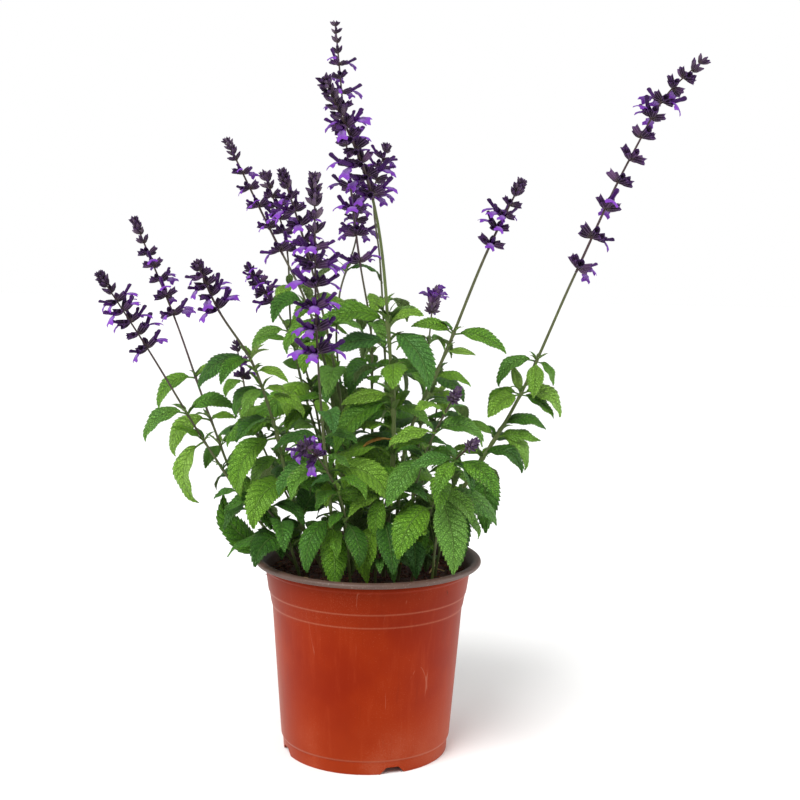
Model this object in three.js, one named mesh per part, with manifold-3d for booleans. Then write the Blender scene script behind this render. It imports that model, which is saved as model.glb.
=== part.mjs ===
// A perennial salvia in full flower, growing in a thermoformed nursery pot.
//
// Millimetres, +Z up. The origin is the middle of the flat pad under the pot, so the pot
// stands on z = 0. The plant is a clump of square stems. Each stem carries opposite pairs
// of toothed, arching leaves, every pair a quarter turn from the last, and above a bare
// length it ends in a spike: whorls of pointed calyces on a thin axis, with two-lipped
// corollas standing out of the open ones.
//
// A stem and its leaves are one solid, its spike is another, and the pot and the potting
// mix are two more.

import * as THREE from "three";
import { mergeVertices } from "three/addons/utils/BufferGeometryUtils.js";
import Module from "manifold-3d";

const wasm = await Module();
wasm.setup();

// ---------------------------------------------------------------- driving dimensions

const TOUCH = 0.3; // running gap left where two solids meet

const POT = {
  height: 165,
  rimR: 95, // outer edge of the rolled rim
  lipDrop: 5.3, // depth of the roll
  wall: 1.4,
  neckR: 86.2, // wall just under the rim
  firstLineZ: 137.5, // two moulded lines ring the pot, each at a small step inwards
  firstLineR: 83.2,
  secondLineZ: 126.7,
  secondLineR: 80.6,
  step: 0.9,
  bodyFootR: 71.4,
  footZ: 11.5, // top of the foot band
  footR: 69.3,
  underR: 66.5, // inner edge of the foot ring
  floorZ: 4.5, // underside of the raised floor
  padR: 16, // flat pad in the middle of the floor, level with the foot
  notches: 4,
  notchWidth: 24,
  notchDepth: 4.2,
  notchTurn: -73, // degrees, the middle of the first notch
  drainR: 4.5,
  drainRing: 42,
  sides: 22,
};

const SOIL = {
  top: 150,
  lump: 0.9, // height of the lumps
  rings: [30, 60],
  holeDepth: 14,
  holeSlack: 0.45, // from the corner of a stem to the corner of its hole
};

const STEM = {
  footR: 2, // half the diagonal of the square section at the foot
  neckR: 1.15, // and where the flowers begin
  bare: 4, // straight length above the potting mix
  step: 40, // length of one straight piece of the solid
  lowestJoint: 9, // least height of a joint above the potting mix
  guardStep: 5, // spacing of the points by which leaves keep clear of it
};

// Each stem: where it stands in the pot and the points it passes through up to its tip; the
// length of its spike, the number of whorls and the share of the florets that are open; the
// height of its top pair of leaves, the compass angle of that pair, the distance between
// joints and how many bear leaves, the longest leaf, and whether the lowest joint bears four;
// leaves chosen one by one, each by its height, compass angle, length, and how steeply it
// leaves the stem and its tip points; the stem's thickness beside the others.
const STEMS = [
  {
    name: "far_left",
    foot: [-58, -5],
    via: [[-95, -6, 199], [-135, -10, 259], [-178, -28, 336], [-216, -40, 399]],
    spike: { length: 76, whorls: 9, open: 0.4 },
    pairs: { top: 200, turn: 95, gap: 22, joints: 1, leaf: 50 },
    chosen: [
      [284, 184, 42, 24, -94],
      [284, 354, 40, 62, -48],
      [261, 186, 55, -25, -145],
      [261, 215, 28, 44, 5],
      [238, 40, 44, 45, -60],
      [218, 178, 20, 25, -60],
      [218, 318, 42, 0, -70],
      [172, 178, 64, -8, 96],
    ],
    girth: 0.85,
  },
  {
    name: "left",
    foot: [-52, 19],
    via: [[-110, 28, 213], [-136, 40, 270], [-171, 66, 356], [-210, 90, 441]],
    spike: { length: 98, whorls: 9, open: 0.35 },
    pairs: { top: 222, turn: 130, gap: 24, joints: 1, leaf: 48 },
    chosen: [
      [306, 182, 42, 14, -100],
      [306, 30, 18, 60, 10],
      [271, 186, 50, 22, -112],
      [271, 10, 20, 40, -30],
      [250, 255, 32, 10, -60],
      [250, 8, 30, 42, 5],
      [203, 250, 34, 10, -85],
    ],
    girth: 0.9,
  },
  {
    name: "far_right",
    foot: [44, 6],
    via: [[75, 10, 214], [118, 20, 284], [170, 35, 400], [218, 49, 504], [248, 56, 556], [276, 60, 583]],
    spike: { length: 212, whorls: 12, open: 0.35 },
    pairs: { top: 214, turn: 100, gap: 24, joints: 1, leaf: 50 },
    chosen: [
      [328, 182, 40, 22, -90],
      [328, 345, 24, -10, -95],
      [328, 262, 32, -25, -85],
      [300, 176, 34, 30, -100],
      [300, 205, 38, 2, -45],
      [300, 2, 42, 34, -92],
      [300, 332, 32, -5, -60],
      [300, 120, 24, 75, 50],
      [264, 180, 28, 45, 0],
      [264, 350, 40, 20, -118],
      [264, 8, 34, 22, -25],
      [246, 273, 60, -30, -86],
      [246, 130, 34, 40, -30],
    ],
    girth: 1.2,
  },
  {
    name: "right",
    foot: [21, -8],
    via: [[33, -10, 273], [59, -10, 334], [93, -22, 425], [117, -30, 478]],
    spike: { length: 62, whorls: 7, open: 0.35 },
    pairs: { top: 290, turn: 170, gap: 34, joints: 3, leaf: 58 },
    chosen: [
      [353, 358, 42, 12, -52],
      [353, 178, 32, 42, -25],
      [338, 355, 22, 15, -25],
      [316, 4, 30, 30, -55],
      [320, 190, 42, 35, -60],
    ],
    girth: 1.25,
  },
  {
    name: "front",
    foot: [-26, -41],
    via: [[-30, -50, 210], [-37, -60, 277], [-42, -75, 349], [-45, -90, 478]],
    spike: { length: 142, whorls: 12, open: 0.45 },
    pairs: { top: 190, turn: 150, gap: 20, joints: 1, leaf: 46 },
    chosen: [
      [244, 190, 44, 35, -82],
      [244, 345, 58, 35, -85],
      [240, 262, 22, -40, -80],
      [220, 350, 42, 40, -50],
      [220, 8, 44, 25, -40],
      [205, 268, 50, -50, -86],
      [205, 235, 50, 10, -115],
      [205, 318, 56, -10, -75],
    ],
    girth: 1,
  },
  {
    name: "tall_front",
    foot: [13, -19],
    via: [[19, -20, 281], [15, -20, 336], [-3, -30, 467], [-39, -75, 549]],
    spike: { length: 108, whorls: 12, open: 0.35 },
    pairs: { top: 323, turn: 82, gap: 36, joints: 3, leaf: 64 },
    chosen: [
      [355, 320, 59, -5, -85],
      [361, 190, 54, 40, -50],
      [366, 15, 22, 38, 5],
      [362, 350, 34, 42, -15],
      [346, 186, 46, 18, -45],
      [303, 190, 38, 10, -30],
      [298, 215, 60, 0, -80],
    ],
    girth: 1.35,
  },
  {
    name: "tall_back",
    foot: [4, 33],
    via: [[1, 50, 289], [-1, 60, 349], [-11, 72, 404], [-37, 110, 614]],
    spike: { length: 216, whorls: 15, open: 0.4 },
    pairs: { top: 352, turn: 100, gap: 38, joints: 2, leaf: 60 },
    chosen: [
      [326, 215, 34, -10, -80],
    ],
    girth: 1,
  },
  {
    name: "inner_left",
    foot: [-36, -20],
    via: [[-60, -24, 207], [-78, -30, 280], [-95, -35, 329], [-121, -55, 374], [-136, -66, 410]],
    spike: { length: 46, whorls: 6, open: 0.35 },
    pairs: { top: 250, turn: 100, gap: 27, joints: 3, leaf: 58, full: true },
    chosen: [
      [331, 184, 46, 22, -85],
      [331, 208, 34, 18, -75],
      [322, 2, 26, 22, -62],
      [307, 186, 34, 22, -115],
      [307, 240, 30, 5, -70],
      [307, 0, 20, 30, -50],
      [280, 184, 42, 24, -80],
      [268, 205, 58, 0, -112],
      [250, 185, 34, 10, -110],
    ],
    girth: 1,
  },
  {
    name: "low_right",
    foot: [25, -29],
    via: [[32, -38, 204], [42, -52, 255], [60, -69, 300], [68, -80, 317]],
    spike: { length: 15, whorls: 2, open: 0 },
    pairs: { top: 250, turn: 110, gap: 24, joints: 3, leaf: 56, full: true },
    chosen: [
      [279, 190, 36, 18, -45],
      [279, 8, 40, 42, -62],
      [259, 222, 48, -15, -72],
      [225, 200, 18, 20, -40],
      [225, 345, 20, 12, -50],
      [214, 283, 50, -55, -86],
      [214, 325, 34, -15, -86],
    ],
    girth: 0.9,
  },
  {
    name: "mid_left",
    foot: [-10, 3],
    via: [[-60, 45, 381], [-83, 58, 423], [-128, 75, 510]],
    spike: { length: 112, whorls: 8, open: 0.35 },
    pairs: { top: 370, turn: 30, gap: 38, joints: 2, leaf: 58 },
    girth: 1.1,
  },
  {
    name: "back_left",
    foot: [-26, 30],
    via: [[-64, 60, 331], [-87, 85, 367], [-112, 105, 401]],
    spike: { length: 48, whorls: 6, open: 0.4 },
    pairs: { top: 328, turn: 150, gap: 34, joints: 2, leaf: 56 },
    chosen: [
      [346, 188, 36, 22, -85],
      [299, 195, 60, 0, -75],
      [285, 205, 34, 0, -80],
    ],
    girth: 0.9,
  },
  {
    name: "back_inner",
    foot: [-9, 38],
    via: [[-71, 80, 349], [-77, 95, 421], [-98, 120, 483]],
    spike: { length: 80, whorls: 8, open: 0.4 },
    pairs: { top: 382, turn: 60, gap: 38, joints: 2, leaf: 56 },
    girth: 0.9,
  },
  {
    name: "inner",
    foot: [0, -2],
    via: [[-44, 25, 376], [-61, 12, 438], [-76, 4, 483]],
    spike: { length: 84, whorls: 8, open: 0.35 },
    pairs: { top: 352, turn: 200, gap: 40, joints: 2, leaf: 60 },
    chosen: [
      [253, 350, 48, 5, -45],
      [248, 200, 32, 40, 20],
    ],
    girth: 1.1,
  },
  {
    name: "back_right",
    foot: [20, 30],
    via: [[6, 95, 408], [0, 118, 470], [11, 130, 511]],
    spike: { length: 52, whorls: 6, open: 0.35 },
    pairs: { top: 368, turn: 20, gap: 38, joints: 2, leaf: 58 },
    girth: 0.9,
  },
  {
    name: "back",
    foot: [8, 45],
    via: [[-29, 90, 379], [-15, 112, 431], [-17, 135, 465]],
    spike: { length: 44, whorls: 5, open: 0.35 },
    pairs: { top: 398, turn: 172, gap: 38, joints: 2, leaf: 56 },
    girth: 0.9,
  },
  {
    name: "bud_right",
    foot: [36, -35],
    via: [[54, -54, 228], [65, -68, 256], [74, -90, 271], [81, -100, 280]],
    spike: { length: 13, whorls: 2, open: 0 },
    pairs: { top: 240, turn: 80, gap: 26, joints: 2, leaf: 56 },
    chosen: [
      [259, 184, 34, 22, -42],
      [259, 240, 36, 0, -62],
      [259, 318, 44, 8, -62],
      [228, 292, 62, -22, -88],
      [228, 335, 36, 15, -82],
    ],
    girth: 0.85,
  },
  {
    name: "bud_back",
    foot: [34, 25],
    via: [[51, 80, 348], [53, 90, 366], [57, 100, 383]],
    spike: { length: 24, whorls: 3, open: 0 },
    pairs: { top: 336, turn: 40, gap: 36, joints: 3, leaf: 56 },
    girth: 0.85,
  },
  {
    name: "bud_front",
    foot: [-14, -48],
    via: [[-22, -62, 224], [-32, -76, 248], [-42, -94, 266], [-53, -112, 277]],
    spike: { length: 32, whorls: 3, open: 0.5 },
    pairs: { top: 228, turn: 40, gap: 24, joints: 2, leaf: 42 },
    girth: 0.8,
  },
  {
    name: "back_far_left",
    foot: [-44, 40],
    via: [[-108, 60, 286], [-112, 75, 300], [-121, 95, 334]],
    spike: { length: 40, whorls: 4, open: 0.3 },
    pairs: { top: 278, turn: 110, gap: 30, joints: 3, leaf: 56 },
    girth: 0.8,
  },
  {
    name: "shoot_left",
    foot: [-56, -28],
    via: [[-68, -33, 190], [-84, -38, 214]],
    pairs: { top: 211, turn: 150, gap: 20, joints: 3, leaf: 54, full: true },
    girth: 0.9,
  },
  {
    name: "shoot_right",
    foot: [56, -14],
    via: [[62, -14, 188], [70, -18, 218]],
    pairs: { top: 214, turn: 100, gap: 22, joints: 2, leaf: 54 },
    chosen: [
      [212, 285, 42, -15, -86],
      [205, 350, 34, 15, -100],
    ],
    girth: 0.9,
  },
  {
    name: "shoot_front",
    foot: [6, -42],
    via: [[7, -46, 184], [15, -57, 232]],
    pairs: { top: 228, turn: 0, gap: 20, joints: 2, leaf: 54, full: true },
    chosen: [
      [209, 285, 46, -20, -86],
      [228, 250, 34, 10, -60],
    ],
    girth: 0.85,
  },
  {
    name: "shoot_front_right",
    foot: [52, -44],
    via: [[54, -47, 186], [58, -52, 214]],
    pairs: { top: 210, turn: 80, gap: 18, joints: 2, leaf: 50 },
    girth: 0.85,
  },
  {
    name: "shoot_back",
    foot: [28, 50],
    via: [[52, 88, 230], [62, 108, 290]],
    pairs: { top: 286, turn: 100, gap: 30, joints: 2, leaf: 58 },
    girth: 0.9,
  },
  {
    name: "shoot_back_left",
    foot: [-18, 60],
    via: [[-30, 88, 215], [-44, 104, 262]],
    pairs: { top: 258, turn: 30, gap: 30, joints: 3, leaf: 56 },
    girth: 0.9,
  },
];

const LEAF = {
  halfWidth: 0.23, // of the blade's length
  petiole: 0.15,
  widest: 0.74, // exponent that sets how near the base the blade is widest
  thick: 1.3,
  petioleR: 0.9,
  // Points of the toothed edge: place along the blade, and width beside the plain outline's.
  edge: [[0.07, 1], [0.3, 1.06], [0.36, 0.94], [0.62, 1.09], [0.68, 0.9]],
  youngEdge: [[0.12, 1], [0.4, 1.06], [0.46, 0.9], [0.76, 1.1]],
  grown: [0.72, 0.92, 1], // length of the top pair, the next and the rest
  young: 0.44, // length of the small leaves beside a pair, as a share of the pair's
  youngShare: 0.12, // how many of those there are
  // The ranges from which a leaf is drawn. Angles are in degrees: how steeply it leaves the
  // stem, how steeply its tip points, how far its halves fold up, and how far it rolls and
  // turns aside.
  size: [0.9, 1.1],
  rise: [34, 56],
  nod: [-58, -102],
  youngRise: 62,
  youngNod: [0, -30],
  tip: 20, // how far a leaf that points sideways tips its face to the front, -Y
  youngUnder: 30, // a chosen leaf shorter than this is a young one
  chosenFold: 12,
  chosenTip: 38, // how far a chosen one tips
  fold: [-8, 26],
  roll: [-22, 22],
  aside: [-10, 10],
  clear: 4.3, // closest that the sampled points of two leaves may come
  clearStem: 3.2,
  clearOwn: 2,
};

const WHORL = {
  first: 5, // from the foot of the spike to its lowest whorl
  tail: 3, // left above the highest
  crowd: 0.6, // how much closer they stand at the tip than on average
  shrink: 0.62, // how much smaller the highest whorl is
  shrinkPower: 2.2,
  sides: 4, // calyces in a whorl, in two fans that face away from each other
  fanR: 3.4, // radius between the two calyces of a fan
  gapR: 1.7, // and between the fans
  squeeze: 12, // degrees by which a fan is narrower than a quarter turn, on each side
  halfHeight: 3.2,
  stagger: 1.1, // every other calyx sits this much higher, the rest lower
  budSpike: 30, // a spike shorter than this is in bud and its whorls are smaller
  budSize: 0.72,
};

const FLORET = {
  calyx: 10.5,
  lean: [50, 68], // degrees from the spike's axis
  size: [0.88, 1.12],
  swing: 0.18, // how far it stands out of its even place, as a share of the spacing
  openSize: 0.6, // a whorl smaller than this has no open florets
  mouthR: 2.1,
  hood: 11, // how far the corolla's two lips reach beyond the calyx
  lip: 11,
  lipHalf: 3.4, // half the spread of the lower lip's lobes
};

const SPIKE = {
  rachisR: 1.05,
  tip: 3, // how far its end stands beyond the last point of the stem's path
  guardR: 15, // leaves stay this far from its axis
};

const COLOURS = {
  pot: 0xb23c1e,
  soil: 0x2a1d17,
  leaves: 0x4a8030,
  flowers: 0x3b2050,
};

// ---------------------------------------------------------------- small helpers

const rad = THREE.MathUtils.degToRad;
const vec = (x, y, z) => new THREE.Vector3(x, y, z);
const within = ([low, high], share) => low + (high - low) * share;

// A repeatable stream of numbers from 0 to 1.
function randomStream(seed) {
  let state = seed * 7919 + 104729;
  const next = () => {
    state = (state * 16807) % 2147483647;
    return state / 2147483647;
  };
  for (let i = 0; i < 5; i++) next();
  return next;
}

// A run of points, the straight ones first and then a smooth curve through the knots, with
// a look-up by distance.
class Path {
  constructor(straight, knots, steps = 10) {
    this.points = [...straight];
    const slopes = knots.slice(1).map((p, i) => p.clone().sub(knots[i]));
    const spans = slopes.map((slope) => slope.length());
    slopes.forEach((slope, i) => slope.divideScalar(spans[i]));
    // At a knot the slopes on both sides are weighed by how near each is.
    const tangents = knots.map((_, i) => {
      if (i === 0 || i === slopes.length) return slopes[Math.max(i - 1, 0)];
      const share = spans[i - 1] / (spans[i - 1] + spans[i]);
      return slopes[i - 1].clone().lerp(slopes[i], share);
    });
    for (const [i, span] of spans.entries()) {
      for (let k = i === 0 ? 0 : 1; k <= steps; k++) {
        this.points.push(hermite(knots[i], tangents[i], knots[i + 1], tangents[i + 1], span, k / steps));
      }
    }
    this.marks = [0];
    for (let i = 1; i < this.points.length; i++) {
      this.marks.push(this.marks[i - 1] + this.points[i].distanceTo(this.points[i - 1]));
    }
    this.length = this.marks[this.marks.length - 1];
  }

  point(distance) {
    const d = Math.min(Math.max(distance, 0), this.length);
    let i = 1;
    while (i + 1 < this.marks.length && this.marks[i] < d) i++;
    const t = (d - this.marks[i - 1]) / (this.marks[i] - this.marks[i - 1]);
    return this.points[i - 1].clone().lerp(this.points[i], t);
  }

  // Tangent, and two directions square to it that don't twist along the path.
  frame(distance) {
    const along = this.point(distance + 1.5).sub(this.point(distance - 1.5)).normalize();
    const side = vec(1, 0, 0).addScaledVector(along, -along.x).normalize();
    return { along, side, across: along.clone().cross(side) };
  }

  // The distance at which the path first reaches a height.
  reaches(z) {
    let i = 1;
    while (i + 1 < this.points.length && this.points[i].z < z) i++;
    const share = (z - this.points[i - 1].z) / (this.points[i].z - this.points[i - 1].z);
    return this.marks[i - 1] + share * (this.marks[i] - this.marks[i - 1]);
  }
}

function hermite(from, fromSlope, to, toSlope, span, t) {
  const t2 = t * t;
  const t3 = t2 * t;
  return vec(0, 0, 0)
    .addScaledVector(from, 2 * t3 - 3 * t2 + 1)
    .addScaledVector(fromSlope, span * (t3 - 2 * t2 + t))
    .addScaledVector(to, 3 * t2 - 2 * t3)
    .addScaledVector(toSlope, span * (t3 - t2));
}

// A triangle mesh under construction.
class Mesh {
  constructor() {
    this.points = [];
    this.faces = [];
  }

  add(p) {
    this.points.push(p);
    return this.points.length - 1;
  }

  face(...ids) {
    for (let i = 1; i + 1 < ids.length; i++) this.faces.push([ids[0], ids[i], ids[i + 1]]);
  }

  // Joins two rings with the same number of points; the second is further along.
  band(low, high) {
    const n = low.length;
    for (let i = 0; i < n; i++) {
      const j = (i + 1) % n;
      this.face(low[i], low[j], high[j], high[i]);
    }
  }

  solid() {
    return new wasm.Manifold(
      new wasm.Mesh({
        numProp: 3,
        vertProperties: new Float32Array(this.points.flatMap((p) => [p.x, p.y, p.z])),
        triVerts: new Uint32Array(this.faces.flat()),
      }),
    );
  }
}

function solidOf(geometry) {
  geometry.deleteAttribute("normal");
  geometry.deleteAttribute("uv");
  const merged = mergeVertices(geometry, 1e-4);
  return new wasm.Manifold(
    new wasm.Mesh({
      numProp: 3,
      vertProperties: merged.attributes.position.array,
      triVerts: new Uint32Array(merged.index.array),
    }),
  );
}

function geometryOf(solid) {
  const mesh = solid.getMesh();
  return new THREE.BufferGeometry()
    .setAttribute("position", new THREE.BufferAttribute(mesh.vertProperties, 3))
    .setIndex(new THREE.BufferAttribute(mesh.triVerts, 1));
}

// ---------------------------------------------------------------- pot

// The wall's radius on the outside, at a height between the foot band and the lines.
function potRadius(z) {
  const { footZ, bodyFootR, secondLineZ, secondLineR, step } = POT;
  const share = (z - footZ) / (secondLineZ - footZ);
  return bodyFootR + share * (secondLineR - step - bodyFootR);
}

function makePot() {
  const p = POT;
  const w = p.wall;
  const lipZ = p.height - p.lipDrop;
  const outline = [
    [0, 0],
    [p.padR, 0],
    [p.padR + 3, p.floorZ],
    [p.underR - 3, p.floorZ],
    [p.underR, 0],
    [p.footR, 0],
    [p.footR + 0.6, p.footZ - 1],
    [p.bodyFootR, p.footZ + 1.5],
    [p.secondLineR - p.step, p.secondLineZ - 3],
    [p.secondLineR, p.secondLineZ],
    [p.firstLineR - p.step, p.firstLineZ - 2],
    [p.firstLineR, p.firstLineZ],
    [p.neckR, lipZ],
    [p.rimR, lipZ + 0.8],
    [p.rimR - 0.5, p.height - 1.2],
    [p.rimR - 3.2, p.height],
    [p.rimR - 6.5, p.height - 0.8],
    [p.neckR - w, lipZ - 2],
    [p.secondLineR - w, p.secondLineZ - 4],
    [p.bodyFootR - w, p.footZ + 2],
    [p.underR - 1.5, p.floorZ + w],
    [0, p.floorZ + w],
  ].map(([r, z]) => new THREE.Vector2(r, z));
  let pot = solidOf(new THREE.LatheGeometry(outline, p.sides).rotateX(rad(90)));
  for (let i = 0; i < p.notches; i++) {
    const turn = rad(p.notchTurn + (i * 360) / p.notches);
    const notch = new THREE.BoxGeometry(20, p.notchWidth, 2 * p.notchDepth);
    notch.rotateZ(turn).translate(p.footR * Math.cos(turn), p.footR * Math.sin(turn), 0);
    pot = pot.subtract(solidOf(notch));
    const drain = new THREE.CylinderGeometry(p.drainR, p.drainR, 12, 6).rotateX(rad(90));
    drain.translate(p.drainRing * Math.cos(turn), p.drainRing * Math.sin(turn), p.floorZ);
    pot = pot.subtract(solidOf(drain));
  }
  return pot;
}

// ---------------------------------------------------------------- potting mix

function soilHeight(x, y) {
  return SOIL.top + SOIL.lump * Math.sin(x / 7 + 1) * Math.cos(y / 8) * Math.sin((x + y) / 13);
}

// The mix fills the pot with the same flat sides, and each stem has a square hole in it.
function makeSoil() {
  const mesh = new Mesh();
  const n = POT.sides;
  const ring = (r, height) =>
    Array.from({ length: n }, (_, i) => {
      const a = ((i + 0.5) * 2 * Math.PI) / n;
      const x = r * Math.cos(a);
      const y = r * Math.sin(a);
      return mesh.add(vec(x, y, height ?? soilHeight(x, y)));
    });
  const gap = POT.wall + TOUCH + 0.8;
  const floor = POT.floorZ + POT.wall + TOUCH;
  const bottom = mesh.add(vec(0, 0, floor));
  const rings = [
    ring(POT.underR - 3, floor),
    ring(potRadius(POT.footZ + 4) - gap - 1, POT.footZ + 4),
    ring(potRadius(POT.secondLineZ - 8) - gap, POT.secondLineZ - 8),
    ring(POT.firstLineR - gap - 0.6, SOIL.top - 1.5),
    ...SOIL.rings.toReversed().map((r) => ring(r)),
  ];
  rings.slice(1).forEach((high, i) => mesh.band(rings[i], high));
  const top = mesh.add(vec(0, 0, soilHeight(0, 0)));
  for (let i = 0; i < n; i++) {
    const j = (i + 1) % n;
    mesh.face(rings[0][j], rings[0][i], bottom);
    mesh.face(rings.at(-1)[i], rings.at(-1)[j], top);
  }
  let soil = mesh.solid();
  const tall = SOIL.holeDepth + 8;
  for (const { foot, girth } of STEMS) {
    const r = STEM.footR * girth + SOIL.holeSlack;
    const hole = new THREE.CylinderGeometry(r, r, tall, 4).rotateX(rad(90));
    hole.translate(foot[0], foot[1], SOIL.top - SOIL.holeDepth + tall / 2);
    soil = soil.subtract(solidOf(hole));
  }
  return soil;
}

// ---------------------------------------------------------------- leaves

// The blade's half width at a share of its length, as a share of its greatest.
function bladeWidth(s) {
  return Math.pow(Math.max(Math.sin(Math.PI * Math.pow(s, LEAF.widest)), 0), 0.9);
}

// A point of the leaf: s runs from 0 at the foot of the blade to 1 at its tip, and is
// negative on the stalk. c runs from -1 to 1 across, and up lifts it off the surface.
// The rib is an arc that rises from the stem and then nods.
function leafPoint(leaf, s, width, lift = 0) {
  const total = leaf.length * (1 + LEAF.petiole);
  const bend = (leaf.nod - leaf.rise) / total;
  const d = (s + LEAF.petiole) * leaf.length;
  const tilt = leaf.rise + bend * d;
  const out = (Math.sin(tilt) - Math.sin(leaf.rise)) / bend;
  const up = (Math.cos(leaf.rise) - Math.cos(tilt)) / bend;
  const ahead = vec(Math.cos(leaf.yaw), Math.sin(leaf.yaw), 0);
  const flank = vec(-ahead.y, ahead.x, 0);
  const face = ahead.clone().multiplyScalar(-Math.sin(tilt)).setZ(Math.cos(tilt));
  const [level, tipped] = [Math.cos(leaf.roll), Math.sin(leaf.roll)];
  const side = flank.clone().multiplyScalar(level).addScaledVector(face, tipped);
  const normal = face.multiplyScalar(level).addScaledVector(flank, -tipped);
  return leaf.root
    .clone()
    .addScaledVector(ahead, out)
    .add(vec(0, 0, up))
    .addScaledVector(side, width * Math.cos(leaf.fold))
    .addScaledVector(normal, Math.abs(width) * Math.sin(leaf.fold) + lift);
}

// One leaf as a closed mesh: stalk, then blade, with teeth down both edges. The two faces
// share their edge points and are split alike, and part only at the rib.
function makeLeaf(leaf) {
  const mesh = new Mesh();
  const half = leaf.length * LEAF.halfWidth;
  const r = LEAF.petioleR * (leaf.young ? 0.75 : 1);
  const root = mesh.add(leafPoint(leaf, -LEAF.petiole, 0));
  const foot = [-r, r].map((w) => mesh.add(leafPoint(leaf, 0, w, 0.2)));
  const keel = mesh.add(leafPoint(leaf, 0, 0, -r));
  mesh.face(root, foot[0], foot[1]);
  mesh.face(root, foot[1], keel);
  mesh.face(root, keel, foot[0]);
  const edge = [-1, 1].map((side) => [
    foot[side < 0 ? 0 : 1],
    ...(leaf.young ? LEAF.youngEdge : LEAF.edge).map(([s, share]) =>
      mesh.add(leafPoint(leaf, s, side * half * bladeWidth(s) * share)),
    ),
  ]);
  const tip = mesh.add(leafPoint(leaf, 1, 0));
  edge.forEach((ids) => ids.push(tip));
  const stations = leaf.young ? [0.45] : [0.3, 0.66];
  const rib = stations.map((s) => [
    mesh.add(leafPoint(leaf, s, 0, LEAF.thick * 0.35)),
    mesh.add(leafPoint(leaf, s, 0, -LEAF.thick * 0.65)),
  ]);
  const last = edge[0].length - 1;
  // The rib station that each edge segment is joined to.
  const owner = (i) => Math.min(Math.floor((i * stations.length) / last), stations.length - 1);
  // On the left the faces are wound one way, on the right the other.
  const skin = (side, a, b, c) => (side === 0 ? mesh.face(a, b, c) : mesh.face(a, c, b));
  for (const [side, ids] of edge.entries()) {
    for (let i = 0; i < last; i++) {
      const [top, under] = rib[owner(i)];
      skin(side, ids[i], ids[i + 1], top);
      skin(side, ids[i], under, ids[i + 1]);
      if (i > 0 && owner(i - 1) !== owner(i)) {
        const [topBefore, underBefore] = rib[owner(i - 1)];
        skin(side, ids[i], top, topBefore);
        skin(side, ids[i], underBefore, under);
      }
    }
  }
  mesh.face(foot[0], rib[0][0], foot[1]);
  mesh.face(foot[0], keel, rib[0][1]);
  mesh.face(keel, foot[1], rib[0][1]);
  return mesh.solid();
}

// ---------------------------------------------------------------- growth

function growStem(spec, index) {
  const [x, y] = spec.foot;
  const path = new Path(
    [vec(x, y, SOIL.top - SOIL.holeDepth + TOUCH)],
    [vec(x, y, SOIL.top + STEM.bare), ...spec.via.map((p) => vec(...p))],
  );
  const neck = path.length - (spec.spike?.length ?? 0);
  const stem = { ...spec, path, neck, leaves: [], random: randomStream(index + 1) };
  stem.guard = [];
  for (let d = 0; d <= path.length; d += STEM.guardStep) {
    stem.guard.push({ p: path.point(d), r: d > neck ? SPIKE.guardR : stemRadius(stem, d) });
  }
  stem.axis = new Path(stemStations(stem).map((d) => path.point(d)), []);
  return stem;
}

// The distances at which the stem's solid has a ring; it is straight between them.
function stemStations({ neck, spike }) {
  const straight = SOIL.holeDepth + STEM.bare;
  const end = neck - (spike ? TOUCH / 2 : 0);
  const count = Math.max(2, Math.round((end - straight) / STEM.step));
  return [0, ...Array.from({ length: count + 1 }, (_, i) => straight + ((end - straight) * i) / count)];
}

function stemRadius(stem, distance) {
  const t = Math.min(distance / stem.neck, 1);
  return stem.girth * (STEM.footR + (STEM.neckR - STEM.footR) * t);
}

// The sampled points of a leaf, by which its distance to other things is judged.
function leafSamples(leaf) {
  const half = leaf.length * LEAF.halfWidth;
  const points = [];
  for (let i = 0; i <= 10; i++) {
    const s = i / 10;
    const w = half * bladeWidth(s);
    for (let k = -2; k <= 2; k++) {
      if (k === 0 || w > 1) points.push({ s, p: leafPoint(leaf, s, (w * k) / 2) });
    }
  }
  return points;
}

// A leaf stays out of the potting mix and off the pot, and doesn't hang down outside it.
function clearOfPot({ p }) {
  const r = Math.hypot(p.x, p.y);
  if (p.z > POT.height + 2.5) return true;
  return r < POT.firstLineR - 4.5 && p.z > SOIL.top + 2.5;
}

function near(a, b, distance) {
  const dx = a.x - b.x;
  const dy = a.y - b.y;
  const dz = a.z - b.z;
  return dx * dx + dy * dy + dz * dz < distance * distance;
}

function clearOfStem(leaf, samples, stem) {
  const own = stem === leaf.stem;
  return stem.guard.every((q) => {
    const reach = q.r + (own ? LEAF.clearOwn : LEAF.clearStem);
    return !samples.some(({ s, p }) => (!own || s > 0.3) && near(p, q.p, reach));
  });
}

function clearOfLeaf(leaf, samples, other) {
  const reach = (leaf.length + other.leaf.length) * 0.62;
  if (!near(leafPoint(leaf, 0.5, 0), leafPoint(other.leaf, 0.5, 0), reach)) return true;
  const same = other.leaf.stem === leaf.stem;
  const free = same ? 0.25 : 0;
  const clear = same ? LEAF.clear * 0.7 : LEAF.clear;
  const others = other.samples.filter((o) => o.s >= free);
  return !samples.some(({ s, p }) => s >= free && others.some((o) => near(p, o.p, clear)));
}

// Ways in which a leaf turns aside, in degrees, and lifts or hangs, until it is clear of
// the rest.
const TURNS = [0, 14, -14, 28, -28, 42, -42, 58, -58];
const POSES = [
  { rise: 0, nod: 0 },
  { rise: 6, nod: 24 },
  { rise: -40, nod: -12 },
  { rise: -85, nod: -18 },
];

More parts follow.
